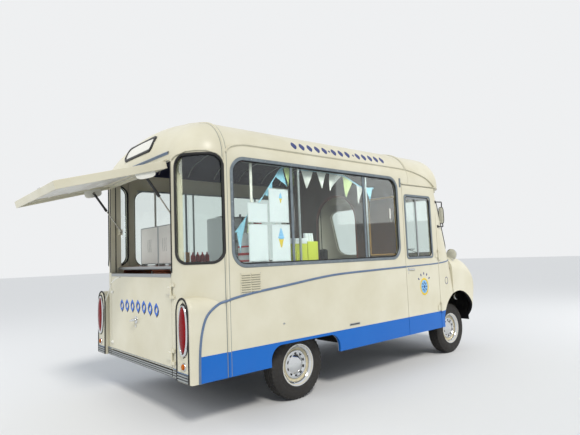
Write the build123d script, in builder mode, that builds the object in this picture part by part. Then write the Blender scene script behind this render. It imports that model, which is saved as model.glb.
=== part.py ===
# Coachbuilt ice cream van of the mid 1960s, as an assembly of separate pieces.
# Millimetres, +X forward, +Y to the van's left, +Z up, ground at Z 0.
# Stations along X are measured forward from the flat rear face of the body.
import os
from math import asin, cos, degrees, radians, sin

from build123d import *

os.makedirs("parts", exist_ok=True)

# The whole body
REAR = -1760.0
HALF = 1000.0
BEYOND = HALF + 100
SKIRT = 377.0
BELOW = SKIRT - 40
ROOF = 2450.0
CAMBER = 85.0
ABOVE = ROOF + CAMBER + 100
WALL = 32.0
CORNER = 340.0
EASE = 5.0
ROLL = CORNER + EASE
SIDE_IN = HALF - 550
SEAM = 4.0
MOVING_GAP = 6.0
FIT = 0.5

# Wheels and where the front parts stand from the front axle
WHEELBASE = 2590.0
REAR_AXLE = 1130.0
FRONT_AXLE = REAR_AXLE + WHEELBASE
TYRE_R = 305.0
TYRE_W = 165.0
RIM_R = 183.0
WHEEL_FACE = HALF - 130
WHEEL_Y = WHEEL_FACE - TYRE_W / 2
PIN_Y = WHEEL_FACE - 180
ARCH_R = 360.0
ARCH_AT = (FRONT_AXLE + 10, 420.0)
REAR_ARCH = (REAR_AXLE - 415, REAR_AXLE + 414, 545.0, 120.0)

# Heights that divide the body
GUTTER = ROOF - 222
DOOR_TOP = ROOF - 410
CORNER_TOP = ROOF - 308
HEADER = ROOF - 344
FLOOR = 500.0
FLOOR_THICK = 25.0
FLOOR_TOP = FLOOR + FLOOR_THICK

# Stations that divide the body
REAR_SEAM = 305.0
WING_SEAM = FRONT_AXLE - 116
PEAK = FRONT_AXLE - 100
DOOR_FRONT = FRONT_AXLE - 420
DOOR_REAR = DOOR_FRONT - 646
ROOF_SEAM = DOOR_REAR + 126

# Windows in the sides and corners
SIDE_WINDOW = (374.0, DOOR_REAR - 104, 1231.0, GUTTER - 130)
SIDE_WINDOW_R = 120.0
PANE_SPLITS = (1045.0, 2030.0)
PANE_GAP = 2.0
GLASS = 5.0
GLASS_INSET = 14.0
CORNER_WINDOW = (1265.0, CORNER_TOP - 22)
CORNER_WINDOW_R = 90.0
CORNER_WINDOW_W = 380.0
CORNER_WINDOW_OFF = 8.0
CORNER_CUT = 110.0

# Rear opening, lower door and hatch
OPEN_HALF = HALF - 345
JAMB_W = 25.0
JAMB_D = 100.0
DOOR_SILL = 440.0
DOOR_HEAD = 1180.0
DOOR_THICK = 30.0
REAR_HINGE = (-14.0, -OPEN_HALF - 10)
REAR_HINGE_Z = (540.0, 1050.0)
REAR_STRAP = 70.0
STRAP_HALF = 25.0
KNUCKLE = 70.0
KNUCKLE_R = 8.0
HATCH_SKIN = 22.0
HATCH_TOP = HEADER - 11
HATCH_AXIS = (-12.0, HATCH_TOP + 17)
HATCH_LOW = DOOR_HEAD + 45
HATCH_HALF = OPEN_HALF - 15
HATCH_FLANGE = 58.0
HATCH_FLANGE_T = 16.0
HATCH_FRAME = (75.0, 30.0, 14.0)
HATCH_OPEN = 74.8
HATCH_BARREL = HATCH_HALF - 50
HATCH_BARREL_R = 9.0
HATCH_LEAF = 40.0
LUG = 24.0
STAY_Y = HATCH_HALF - 40
STAY_BASE = (84.0, ROOF - 850)
STAY_EYE = (-187.0, HATCH_AXIS[1] - 134)
STAY_BRACKET = (16.0, 30.0)
STAY_TUBE = 210.0
STAY_LAP = 25.0
STAY_TUBE_R = 11.0
STAY_ROD_R = 6.0
STAY_SLEEVE = 30.0
STAY_FOOT = 60.0
KIDNEY = (150.0, 68.0, 6.0)
EYE_R = 12.0
EYE_T = 10.0
PIN_R = 4.5

# Tail pods
POD_IN = HALF - 235
POD_OUT = HALF - 28
POD_TOP = 1000.0
POD_PROUD = 25.0
POD_R = 100.0
POD_EDGE = 22.0

# Cab door
DOOR_SKIN = 35.0
DOOR_WINDOW = (DOOR_REAR + 43, DOOR_FRONT - 115, 1223.0, DOOR_TOP - 119)
DOOR_WINDOW_R = 60.0
HINGE_PROUD = 12.0
CAB_HINGE_X = DOOR_FRONT - 2
CAB_HINGE_Z = (614.0, 1235.0)

# Windscreen and nose
RAKE_LOW = (FRONT_AXLE + 94, 1000.0)
RAKE_HIGH = (FRONT_AXLE - 185, DOOR_TOP + MOVING_GAP)
CAB_BACK = DOOR_FRONT - 200
SCREEN = (HALF - 100, 1270.0, DOOR_TOP - 90)
SCREEN_R = 110.0
SCUTTLE = 1150.0
NOSE_R = 170.0
DECK = (1215.0, FRONT_AXLE + 80, 1205.0)
CROWN = (FRONT_AXLE + 430, 1035.0)
BROW = (FRONT_AXLE + 505, 800.0)
CHIN = (FRONT_AXLE + 390, 430.0)
NOSE_BACK = FRONT_AXLE - 220
NOSE_FRONT = FRONT_AXLE + 580
BONNET_HALF = HALF - 550
BONNET_EDGE = 1015.0

# Cylinders that stand on their place instead of round it
BASE = (Align.CENTER, Align.CENTER, Align.MIN)


def at(station):
    """X of a station measured from the rear face."""
    return REAR + station


def span_box(x0, x1, y0, y1, z0, z1, mode=Mode.ADD):
    """Box between two stations, two sides and two heights."""
    with Locations((at((x0 + x1) / 2), (y0 + y1) / 2, (z0 + z1) / 2)):
        Box(x1 - x0, y1 - y0, z1 - z0, mode=mode)


def side_box(x0, x1, side, inner, outer, z0, z1, mode=Mode.ADD):
    """Box on one side of the middle, between two distances from it."""
    y0, y1 = sorted((side * inner, side * outer))
    span_box(x0, x1, y0, y1, z0, z1, mode=mode)


def export(builder, name):
    """Labels a finished piece and writes it."""
    builder.part.label = name
    export_step(builder.part, "parts/" + name + ".step")


def body_form(inset, foot):
    """Loaf-shaped form of the body under its cambered roof, drawn in by an inset."""
    half = HALF - inset
    reach = HALF - ROLL
    lean = degrees(asin(reach / ((reach**2 + CAMBER**2) / (2 * CAMBER))))
    with BuildPart() as form:
        with BuildSketch(Plane.YZ.offset(at(inset))):
            with BuildLine():
                left = CenterArc((reach, ROOF - ROLL), ROLL - inset, 0, 90 - lean)
                right = CenterArc((-reach, ROOF - ROLL), ROLL - inset, 90 + lean, 90 - lean)
                ThreePointArc(left @ 1, (0, ROOF + CAMBER - inset), right @ 0)
                Line(right @ 1, (-half, foot))
                Line((-half, foot), (half, foot))
                Line((half, foot), left @ 0)
            make_face()
        extrude(amount=PEAK - 2 * inset)
        ends = (at(inset), at(PEAK - inset))
        rings = form.edges().filter_by(
            lambda e: min(abs(e.center().X - x) for x in ends) < 0.01 and e.center().Z > foot + 1
        )
        fillet(rings, CORNER - inset)
    return form.part


def cab_form(inset, foot):
    """Form of the cab's raked front, drawn in by an inset."""
    half = HALF - inset
    slope = (RAKE_HIGH[0] - RAKE_LOW[0]) / (RAKE_HIGH[1] - RAKE_LOW[1])
    low_x = RAKE_LOW[0] + slope * (foot - RAKE_LOW[1])
    back = CAB_BACK
    with BuildPart() as form:
        with BuildSketch(Plane.XZ):
            with BuildLine():
                Polyline(
                    (at(back), foot),
                    (at(low_x - inset), foot),
                    (at(RAKE_HIGH[0] - inset), RAKE_HIGH[1]),
                    (at(back), RAKE_HIGH[1]),
                    close=True,
                )
            make_face()
        extrude(amount=half, both=True)
        raked = form.edges().filter_by(
            lambda e: abs(abs(e.center().Y) - half) < 0.01
            and e.center().X > at(WING_SEAM - 150)
            and foot + 1 < e.center().Z < RAKE_HIGH[1] - 1
        )
        fillet(raked, CORNER - inset)
    return form.part


def nose_form(inset, foot):
    """Form of bonnet and wings together, drawn in by an inset."""
    half = HALF - inset
    with BuildPart() as form:
        with BuildSketch(Plane.XZ):
            with BuildLine():
                deck = Line((at(WING_SEAM), DECK[0] - inset), (at(DECK[1]), DECK[2] - inset))
                crown = TangentArc(
                    deck @ 1, (at(CROWN[0] - inset * 0.75), CROWN[1] - inset * 0.66), tangent=deck % 1
                )
                brow = TangentArc(crown @ 1, (at(BROW[0] - inset), BROW[1]), tangent=crown % 1)
                face = TangentArc(brow @ 1, (at(CHIN[0] - inset * 0.9), CHIN[1]), tangent=brow % 1)
                Polyline(
                    face @ 1,
                    (at(CHIN[0] - inset * 0.9), foot),
                    (at(WING_SEAM), foot),
                    deck @ 0,
                )
            make_face()
        extrude(amount=half, both=True)
        ring = form.edges().filter_by(
            lambda e: abs(abs(e.center().Y) - half) < 0.01
            and e.center().Z > foot + 1
            and e.center().X > at(WING_SEAM + 10)
        )
        fillet(ring, NOSE_R - inset)
    return form.part


body_outer = body_form(0, SKIRT)
body_inner = body_form(WALL, BELOW)
cab_outer = cab_form(0, SKIRT)
cab_inner = cab_form(WALL, BELOW)
nose_outer = nose_form(0, SKIRT)
nose_inner = nose_form(WALL, BELOW)

# Hollow body shell, from which the panels are parted
with BuildPart() as body_shell:
    add(body_outer)
    add(body_inner, mode=Mode.SUBTRACT)

# Roof in three solids with seams between them
with BuildPart() as roof_panels:
    add(body_shell.part)
    with BuildPart(mode=Mode.INTERSECT):
        span_box(-50, REAR_SEAM - SEAM / 2, -BEYOND, BEYOND, CORNER_TOP, ABOVE)
        span_box(-50, REAR_SEAM - SEAM / 2, -OPEN_HALF + 5, OPEN_HALF - 5, HEADER, ABOVE)
        span_box(REAR_SEAM + SEAM / 2, ROOF_SEAM - SEAM / 2, -BEYOND, BEYOND, GUTTER, ABOVE)
        span_box(ROOF_SEAM + SEAM / 2, PEAK + 50, -BEYOND, BEYOND, DOOR_TOP + MOVING_GAP, ABOVE)
with BuildPart() as roof:
    add(roof_panels.part)
    for side in (-1, 1):
        lug_y = side * (HATCH_BARREL + LUG / 2)
        with Locations(Location((at(HATCH_AXIS[0]), lug_y, HATCH_AXIS[1]), (90, 0, 0))):
            Cylinder(HATCH_BARREL_R, LUG)
        lug_top = HATCH_AXIS[1] + HATCH_BARREL_R
        span_box(HATCH_AXIS[0], SEAM, lug_y - LUG / 2, lug_y + LUG / 2, HEADER, lug_top)
export(roof, "roof")

# Sides from the rear seam to the cab door, with window and flat-topped arch
with BuildPart() as side_right:
    add(body_shell.part)
    with BuildPart(mode=Mode.INTERSECT):
        span_box(REAR_SEAM + SEAM / 2, DOOR_REAR - MOVING_GAP, -BEYOND, -SIDE_IN, SKIRT, GUTTER)
        span_box(DOOR_REAR - 50, ROOF_SEAM - SEAM / 2, -BEYOND, -SIDE_IN, DOOR_TOP + MOVING_GAP, GUTTER)
    with BuildSketch(Plane.XZ):
        x0, x1, z0, z1 = SIDE_WINDOW
        with Locations((at((x0 + x1) / 2), (z0 + z1) / 2)):
            RectangleRounded(x1 - x0, z1 - z0, SIDE_WINDOW_R)
    extrude(amount=BEYOND, mode=Mode.SUBTRACT)
    with BuildSketch(Plane.XZ):
        a0, a1, top, arch_r = REAR_ARCH
        with Locations((at((a0 + a1) / 2), 0)):
            RectangleRounded(a1 - a0, top * 2, arch_r)
    extrude(amount=BEYOND, mode=Mode.SUBTRACT)
export(side_right, "side_right")

with BuildPart() as side_left:
    mirror(side_right.part, about=Plane.XZ)
export(side_left, "side_left")

# One rear corner with its window, jamb and tail pod
diagonal = Plane(
    origin=(at(CORNER), -(HALF - CORNER), 0),
    x_dir=(1, -1, 0),
    z_dir=(-1, -1, 0),
)


def tail_block(inset):
    """Squared lower corner on the right that carries the tail lamps."""
    reach = REAR_SEAM - SEAM / 2 + POD_PROUD + inset
    foot = SKIRT if inset == 0 else BELOW
    with BuildPart() as block:
        with BuildSketch(Plane.YZ.offset(at(-POD_PROUD + inset))) as outline:
            wide = HALF - POD_IN - 2 * inset
            with Locations((-(HALF + POD_IN) / 2, (POD_TOP - inset + foot) / 2)):
                Rectangle(wide, POD_TOP - inset - foot)
            fillet(outline.vertices().group_by(Axis.Y)[-1], POD_R - inset)
        extrude(amount=reach)
        rim_edges = block.edges().filter_by(
            lambda e: abs(e.center().X - at(-POD_PROUD + inset)) < 0.01 and e.center().Z > foot + 1
        )
        fillet(rim_edges, POD_EDGE)
    return block.part


with BuildPart() as corner_right:
    add(body_shell.part)
    span_box(-50, REAR_SEAM - SEAM / 2, -BEYOND, -OPEN_HALF, SKIRT, CORNER_TOP, mode=Mode.INTERSECT)
    span_box(0, JAMB_D, -OPEN_HALF - JAMB_W, -OPEN_HALF, SKIRT, CORNER_TOP)
    add(tail_block(0))
    add(body_inner, mode=Mode.SUBTRACT)
    add(tail_block(WALL), mode=Mode.SUBTRACT)
    span_box(0, JAMB_D, -OPEN_HALF - JAMB_W, -OPEN_HALF, SKIRT, CORNER_TOP)
    with BuildSketch(diagonal.offset(CORNER - CORNER_CUT)):
        z0, z1 = CORNER_WINDOW
        with Locations((CORNER_WINDOW_OFF, (z0 + z1) / 2)):
            RectangleRounded(CORNER_WINDOW_W, z1 - z0, CORNER_WINDOW_R)
    extrude(amount=200, mode=Mode.SUBTRACT)

with BuildPart() as rear_corners:
    add(corner_right.part)
    mirror(corner_right.part, about=Plane.XZ)
    half_x, half_z = STAY_BRACKET
    for side in (-1, 1):
        side_box(
            STAY_BASE[0] - half_x, STAY_BASE[0] + half_x, side, STAY_Y + EYE_R, OPEN_HALF + 2,
            STAY_BASE[1] - half_z, STAY_BASE[1] + half_z,
        )
    for z in REAR_HINGE_Z:
        for lug_z in (z - (KNUCKLE + LUG) / 2, z + (KNUCKLE + LUG) / 2):
            with Locations((at(REAR_HINGE[0]), REAR_HINGE[1], lug_z)):
                Cylinder(KNUCKLE_R, LUG)
            span_box(REAR_HINGE[0], 2, REAR_HINGE[1] - 40, REAR_HINGE[1], lug_z - LUG / 2, lug_z + LUG / 2)
export(rear_corners, "rear_corners")

# Front panel of pillars, scuttle and windscreen frame
with BuildPart() as front_panel:
    add(cab_outer)
    add(cab_inner, mode=Mode.SUBTRACT)
    with BuildPart(mode=Mode.INTERSECT):
        span_box(DOOR_FRONT + MOVING_GAP, WING_SEAM, -BEYOND, BEYOND, SKIRT, RAKE_HIGH[1])
        span_box(DOOR_FRONT + MOVING_GAP, FRONT_AXLE + 180, -BEYOND, BEYOND, SCUTTLE, RAKE_HIGH[1])
    with BuildSketch(Plane.YZ.offset(at(DOOR_FRONT))):
        with Locations((0, (SCREEN[1] + SCREEN[2]) / 2)):
            RectangleRounded(SCREEN[0] * 2, SCREEN[2] - SCREEN[1], SCREEN_R)
    extrude(amount=700, mode=Mode.SUBTRACT)
    with Locations(Location((at(ARCH_AT[0]), 0, ARCH_AT[1]), (90, 0, 0))):
        Cylinder(ARCH_R, BEYOND * 2, mode=Mode.SUBTRACT)
    span_box(DOOR_FRONT, WING_SEAM + 50, -HALF + 60, HALF - 60, SKIRT, SCUTTLE - 60, mode=Mode.SUBTRACT)
    for side in (-1, 1):
        for z in CAB_HINGE_Z:
            for lug_z in (z - (KNUCKLE + LUG) / 2, z + (KNUCKLE + LUG) / 2):
                with Locations((at(CAB_HINGE_X), side * (HALF + HINGE_PROUD), lug_z)):
                    Cylinder(KNUCKLE_R, LUG)
                low, high = lug_z - LUG / 2, lug_z + LUG / 2
                proud = HALF + HINGE_PROUD
                side_box(DOOR_FRONT + MOVING_GAP, DOOR_FRONT + 50, side, HALF - SEAM, proud, low, high)
                side_box(CAB_HINGE_X, DOOR_FRONT + 50, side, HALF + HINGE_PROUD / 2, proud, low, high)
export(front_panel, "front_panel")

# Nose shell, parted into wings, bonnet and grille panel
with BuildPart() as nose_shell:
    add(nose_outer)
    add(nose_inner, mode=Mode.SUBTRACT)
    with BuildPart(mode=Mode.SUBTRACT):
        add(cab_form(-FIT, SCUTTLE - SEAM))
    with Locations(Location((at(ARCH_AT[0]), 0, ARCH_AT[1]), (90, 0, 0))):
        Cylinder(ARCH_R, BEYOND * 2, mode=Mode.SUBTRACT)

LAMP_Y = HALF - 300
LAMP_FACE = FRONT_AXLE + 530
LAMP_BACK = FRONT_AXLE + 410
LAMP_Z = 830.0
LAMP_R = 95.0
FLASHER_Z = 655.0
FLASHER_R = 38.0
with BuildPart() as bay:
    for side in (-1, 1):
        side_box(WING_SEAM, LAMP_FACE - 50, side, BONNET_HALF, BONNET_HALF + 12, FLOOR + 20, DECK[2])
    add(nose_outer, mode=Mode.INTERSECT)
    add(cab_form(-FIT, SCUTTLE - SEAM), mode=Mode.SUBTRACT)
with BuildPart() as wings:
    add(nose_shell.part)
    with BuildPart(mode=Mode.INTERSECT):
        for side in (-1, 1):
            side_box(NOSE_BACK, NOSE_FRONT, side, BONNET_HALF, BEYOND, BELOW, HALF + 300)
    add(bay.part)
    for height, radius in ((LAMP_Z, LAMP_R + FIT), (FLASHER_Z, FLASHER_R + FIT)):
        with Locations(*[Location((at(LAMP_BACK), s * LAMP_Y, height), (0, 90, 0)) for s in (-1, 1)]):
            Cylinder(radius, NOSE_FRONT - LAMP_BACK, align=BASE, mode=Mode.SUBTRACT)
export(wings, "wings")

with BuildPart() as bonnet:
    add(nose_shell.part)
    half = BONNET_HALF - SEAM
    span_box(NOSE_BACK, NOSE_FRONT, -half, half, BONNET_EDGE, DECK[0] + 50, mode=Mode.INTERSECT)
export(bonnet, "bonnet")

GRILLE_HALF = 330.0
GRILLE_LOW = 600.0
GRILLE_HIGH = 930.0
SLATS = 7
SLAT_HALF = 7.0
SLAT_AT = FRONT_AXLE + 458
SLAT_DEPTH = 28.0
GRILLE_BACK = FRONT_AXLE + 280
GRILLE_FOOT = 506.0
with BuildPart() as grille:
    add(nose_shell.part)
    half = BONNET_HALF
    span_box(GRILLE_BACK, NOSE_FRONT, -half, half, GRILLE_FOOT, BONNET_EDGE, mode=Mode.INTERSECT)
    with BuildSketch(Plane.YZ.offset(at(GRILLE_BACK))):
        with Locations((0, (GRILLE_LOW + GRILLE_HIGH) / 2)):
            SlotOverall(GRILLE_HALF * 2, GRILLE_HIGH - GRILLE_LOW)
    extrude(amount=NOSE_FRONT - GRILLE_BACK, mode=Mode.SUBTRACT)
    slat_pitch = (GRILLE_HIGH - GRILLE_LOW) / (SLATS + 1)
    for row in range(SLATS):
        z = GRILLE_LOW + slat_pitch * (row + 1)
        reach = GRILLE_HALF + 20
        span_box(SLAT_AT, SLAT_AT + SLAT_DEPTH, -reach, reach, z - SLAT_HALF, z + SLAT_HALF)
    for side in (-1, 1):
        side_box(SLAT_AT - 28, SLAT_AT + 2, side, GRILLE_HALF - 30, reach, GRILLE_LOW - 20, GRILLE_HIGH + 20)
export(grille, "grille")

# Cab door on each side, a flat slab with its window cut
with BuildPart() as cab_door_right:
    span_box(DOOR_REAR, DOOR_FRONT, -HALF, -HALF + DOOR_SKIN, SKIRT, DOOR_TOP)
    with BuildSketch(Plane.XZ):
        x0, x1, z0, z1 = DOOR_WINDOW
        with Locations((at((x0 + x1) / 2), (z0 + z1) / 2)):
            RectangleRounded(x1 - x0, z1 - z0, DOOR_WINDOW_R)
    extrude(amount=BEYOND, mode=Mode.SUBTRACT)
    for z in CAB_HINGE_Z:
        with Locations((at(CAB_HINGE_X), -HALF - HINGE_PROUD, z)):
            Cylinder(KNUCKLE_R, KNUCKLE)
        span_box(DOOR_FRONT - 60, DOOR_FRONT - 2, -HALF - 6, -HALF, z - 30, z + 30)
        span_box(DOOR_FRONT - 12, DOOR_FRONT - 2, -HALF - HINGE_PROUD, -HALF, z - 30, z + 30)
export(cab_door_right, "cab_door_right")

with BuildPart() as cab_door_left:
    mirror(cab_door_right.part, about=Plane.XZ)
export(cab_door_left, "cab_door_left")

with BuildPart() as door_glass_right:
    with BuildSketch(Plane.XZ.offset(HALF - GLASS_INSET - GLASS)):
        x0, x1, z0, z1 = DOOR_WINDOW
        with Locations((at((x0 + x1) / 2), (z0 + z1) / 2)):
            RectangleRounded(x1 - x0 - FIT, z1 - z0 - FIT, DOOR_WINDOW_R)
    extrude(amount=GLASS)
export(door_glass_right, "door_glass_right")

with BuildPart() as door_glass_left:
    mirror(door_glass_right.part, about=Plane.XZ)
export(door_glass_left, "door_glass_left")

# Fixed glass: side panes, wrapped corner glass and curved windscreen
with BuildPart() as side_pane:
    with BuildSketch(Plane.XZ.offset(HALF - GLASS_INSET - GLASS)):
        x0, x1, z0, z1 = SIDE_WINDOW
        with Locations((at((x0 + x1) / 2), (z0 + z1) / 2)):
            RectangleRounded(x1 - x0 - FIT, z1 - z0 - FIT, SIDE_WINDOW_R)
    extrude(amount=GLASS)
    for split_at in PANE_SPLITS:
        span_box(
            split_at - PANE_GAP / 2, split_at + PANE_GAP / 2, -BEYOND, 0, BELOW, ABOVE, mode=Mode.SUBTRACT,
        )

with BuildPart() as corner_pane:
    add(body_form(GLASS_INSET, SKIRT))
    add(body_form(GLASS_INSET + GLASS, BELOW), mode=Mode.SUBTRACT)
    with BuildPart(mode=Mode.INTERSECT):
        with BuildSketch(diagonal.offset(CORNER - CORNER_CUT)):
            z0, z1 = CORNER_WINDOW
            with Locations((CORNER_WINDOW_OFF, (z0 + z1) / 2)):
                RectangleRounded(CORNER_WINDOW_W - FIT, z1 - z0 - FIT, CORNER_WINDOW_R)
        extrude(amount=200)

with BuildPart() as body_glass:
    add(cab_form(GLASS_INSET, SKIRT))
    add(cab_form(GLASS_INSET + GLASS, BELOW), mode=Mode.SUBTRACT)
    with BuildPart(mode=Mode.INTERSECT):
        with BuildSketch(Plane.YZ.offset(at(DOOR_FRONT + 20))):
            with Locations((0, (SCREEN[1] + SCREEN[2]) / 2)):
                RectangleRounded(SCREEN[0] * 2 - FIT, SCREEN[2] - SCREEN[1] - FIT, SCREEN_R)
        extrude(amount=700)
    for pane in (side_pane, corner_pane):
        add(pane.part)
        mirror(pane.part, about=Plane.XZ)
export(body_glass, "body_glass")

# Lamps: headlamps and flashers in front, oval lenses and flashers behind
LENS_Y = (POD_IN + POD_OUT) / 2 + 20
TAIL_LENS = (372.0, 136.0, 766.0)
TAIL_FLASHER = (34.0, 497.0)
LENS_DEPTH = 24.0
LENS_BULGE = 22.0
with BuildPart() as lamps:
    for side in (-1, 1):
        with Locations(Location((at(LAMP_BACK), side * LAMP_Y, LAMP_Z), (0, 90, 0))):
            Cylinder(LAMP_R, LAMP_FACE - LAMP_BACK, align=BASE)
            with Locations((0, 0, LAMP_FACE - LAMP_BACK)):
                Cone(LAMP_R, LAMP_R * 0.6, LENS_BULGE, align=BASE)
        with Locations(Location((at(LAMP_BACK), side * LAMP_Y, FLASHER_Z), (0, 90, 0))):
            Cylinder(FLASHER_R, LAMP_FACE - LAMP_BACK, align=BASE)
        with BuildSketch(Plane.YZ.offset(at(-POD_PROUD))):
            with Locations((side * LENS_Y, TAIL_LENS[2])):
                SlotOverall(TAIL_LENS[0], TAIL_LENS[1], rotation=90)
            with Locations((side * LENS_Y, TAIL_FLASHER[1])):
                Circle(TAIL_FLASHER[0])
        extrude(amount=-LENS_DEPTH)
export(lamps, "lamps")

# Rear hatch, drawn shut and then raised to where it is propped
hatch_axis = Axis((at(HATCH_AXIS[0]), 0, HATCH_AXIS[1]), (0, 1, 0))
swing = radians(HATCH_OPEN)
eye_dx = STAY_EYE[0] - HATCH_AXIS[0]
eye_dz = STAY_EYE[1] - HATCH_AXIS[1]
EYE_SHUT = (
    HATCH_AXIS[0] + eye_dx * cos(swing) - eye_dz * sin(swing),
    HATCH_AXIS[1] + eye_dx * sin(swing) + eye_dz * cos(swing),
)
with BuildPart() as hatch_shut:
    span_box(0, HATCH_SKIN, -HATCH_HALF, HATCH_HALF, HATCH_LOW, HATCH_TOP)
    with BuildSketch(Plane.YZ.offset(at(HATCH_SKIN))):
        with Locations((0, (HATCH_LOW + HATCH_TOP) / 2)):
            Rectangle(HATCH_HALF * 2, HATCH_TOP - HATCH_LOW)
            inside = 2 * HATCH_FLANGE_T
            Rectangle(HATCH_HALF * 2 - inside, HATCH_TOP - HATCH_LOW - inside, mode=Mode.SUBTRACT)
    extrude(amount=HATCH_FLANGE - HATCH_SKIN)
    with BuildSketch(Plane.YZ.offset(at(HATCH_SKIN))):
        with Locations((0, (HATCH_LOW + HATCH_TOP) / 2)):
            edge, rib_w, rib_t = HATCH_FRAME
            inside = 2 * (edge + rib_w)
            Rectangle(HATCH_HALF * 2 - edge * 2, HATCH_TOP - HATCH_LOW - edge * 2)
            Rectangle(HATCH_HALF * 2 - inside, HATCH_TOP - HATCH_LOW - inside, mode=Mode.SUBTRACT)
    extrude(amount=rib_t)
    shut_x, shut_z = EYE_SHUT
    for side in (-1, 1):
        length, width, thick = KIDNEY
        plate_y = side * (HATCH_HALF - HATCH_FLANGE_T - thick / 2)
        with BuildSketch(Plane.XZ.offset(-plate_y - thick / 2)):
            with Locations((at(shut_x - HATCH_FLANGE_T), shut_z)):
                SlotOverall(length, width, rotation=90)
        extrude(amount=thick)
        with Locations(Location((at(shut_x), side * (STAY_Y + 8), shut_z), (90, 0, 0))):
            Cylinder(PIN_R, EYE_T + HATCH_FLANGE_T)
    with Locations(Location((at(HATCH_AXIS[0]), 0, HATCH_AXIS[1]), (90, 0, 0))):
        Cylinder(HATCH_BARREL_R, HATCH_BARREL * 2)
    span_box(-7, -2, -HATCH_BARREL, HATCH_BARREL, HATCH_TOP - HATCH_LEAF, HATCH_AXIS[1])
    span_box(-7, 2, -HATCH_BARREL, HATCH_BARREL, HATCH_TOP - HATCH_LEAF, HATCH_TOP)
with BuildPart() as rear_hatch:
    add(hatch_shut.part.rotate(hatch_axis, HATCH_OPEN))
export(rear_hatch, "rear_hatch")

# Stays that prop the hatch: tube on the hatch, rod down to the jamb
stay_dx = STAY_BASE[0] - STAY_EYE[0]
stay_dz = STAY_BASE[1] - STAY_EYE[1]
stay_len = (stay_dx**2 + stay_dz**2) ** 0.5
for name, side in (("right", -1), ("left", 1)):
    down = Plane(
        origin=(at(STAY_EYE[0]), side * STAY_Y, STAY_EYE[1]),
        x_dir=(0, 1, 0),
        z_dir=(stay_dx, 0, stay_dz),
    )
    with BuildPart() as stay_tube:
        with BuildSketch(down.offset(EYE_R - 2)):
            Circle(STAY_TUBE_R)
        extrude(amount=STAY_TUBE - EYE_R + 2)
        with BuildSketch(down.offset(STAY_TUBE - STAY_SLEEVE)):
            Circle(STAY_TUBE_R + 2)
        extrude(amount=STAY_SLEEVE)
        with BuildSketch(down.offset(EYE_R + 8)):
            Circle(STAY_ROD_R + 1)
        extrude(amount=STAY_TUBE, mode=Mode.SUBTRACT)
        with Locations(Location((at(STAY_EYE[0]), side * STAY_Y, STAY_EYE[1]), (90, 0, 0))):
            Cylinder(EYE_R, EYE_T)
            Cylinder(PIN_R + FIT, EYE_T * 2, mode=Mode.SUBTRACT)
    export(stay_tube, "stay_tube_" + name)
    with BuildPart() as stay_rod:
        with BuildSketch(down.offset(STAY_TUBE - STAY_LAP)):
            Circle(STAY_ROD_R)
        extrude(amount=stay_len - STAY_TUBE + STAY_LAP - EYE_R + 2)
        with BuildSketch(down.offset(stay_len - STAY_FOOT)):
            Circle(STAY_ROD_R + 2)
        extrude(amount=STAY_FOOT - EYE_R + 2)
        with Locations(Location((at(STAY_BASE[0]), side * STAY_Y, STAY_BASE[1]), (90, 0, 0))):
            Cylinder(EYE_R, EYE_T)
        pin = EYE_R - 2 * FIT
        with Locations(Location((at(STAY_BASE[0]), side * (STAY_Y + pin / 2), STAY_BASE[1]), (90, 0, 0))):
            Cylinder(PIN_R, pin)
    export(stay_rod, "stay_rod_" + name)

# Lower rear door, hinged on the right
with BuildPart() as rear_door:
    span_box(0, DOOR_THICK, -OPEN_HALF + MOVING_GAP, OPEN_HALF - MOVING_GAP, DOOR_SILL, DOOR_HEAD)
    for z in REAR_HINGE_Z:
        with Locations((at(REAR_HINGE[0]), REAR_HINGE[1], z)):
            Cylinder(KNUCKLE_R, KNUCKLE)
        strap = (-OPEN_HALF + REAR_STRAP, z - STRAP_HALF, z + STRAP_HALF)
        span_box(-16, -8, REAR_HINGE[1], *strap)
        span_box(-12, 0, -OPEN_HALF + MOVING_GAP + SEAM, *strap)
export(rear_door, "rear_door")

# Chassis: rails, crossmembers, outriggers, the rear sill and a towing eye
RAIL_Y = HALF - 600
RAIL_W = 60.0
RAIL_LOW = 400.0
RAIL_ENDS = (42.0, FRONT_AXLE + 470)
MEMBER_W = 50.0
OUTRIGGER = HALF - 70
BETWEEN_RAILS = RAIL_Y + 20
CROSSMEMBERS = (
    # station, half length, low, high
    (70, OPEN_HALF - 15, 440, FLOOR),
    (620, OUTRIGGER, 440, FLOOR),
    (1640, OUTRIGGER, 440, FLOOR),
    (2300, OUTRIGGER, 440, FLOOR),
    (DOOR_FRONT - 50, OUTRIGGER, 440, FLOOR),
    (FRONT_AXLE - 120, BETWEEN_RAILS, RAIL_LOW, 465),
    (FRONT_AXLE + 445, BETWEEN_RAILS, RAIL_LOW, FLOOR),
)
SILL_GAP = 3.0
TOW_EYE = (FRONT_AXLE + 525, -280.0, 425.0)
TOW_EYE_R = 16.0
TOW_EYE_OUT = 30.0
TOW_EYE_T = 16.0
with BuildPart() as chassis:
    for side in (-1, 1):
        side_box(*RAIL_ENDS, side, RAIL_Y - RAIL_W / 2, RAIL_Y + RAIL_W / 2, RAIL_LOW, FLOOR)
    for station, half, low, high in CROSSMEMBERS:
        span_box(station - MEMBER_W / 2, station + MEMBER_W / 2, -half, half, low, high)
    sill_half = OPEN_HALF - SILL_GAP
    sill_front = RAIL_ENDS[0] + SEAM
    span_box(0, sill_front, -sill_half, sill_half, SKIRT + SILL_GAP, DOOR_SILL - MOVING_GAP)
    x, y, z = TOW_EYE
    span_box(RAIL_ENDS[1] - 10, x, y - TOW_EYE_T / 2, y + TOW_EYE_T / 2, RAIL_LOW, z + 25)
    with Locations(Location((at(x), y, z), (90, 0, 0))):
        Cylinder(TOW_EYE_OUT, TOW_EYE_T)
        Cylinder(TOW_EYE_R, TOW_EYE_T * 2, mode=Mode.SUBTRACT)
export(chassis, "chassis")

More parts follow.
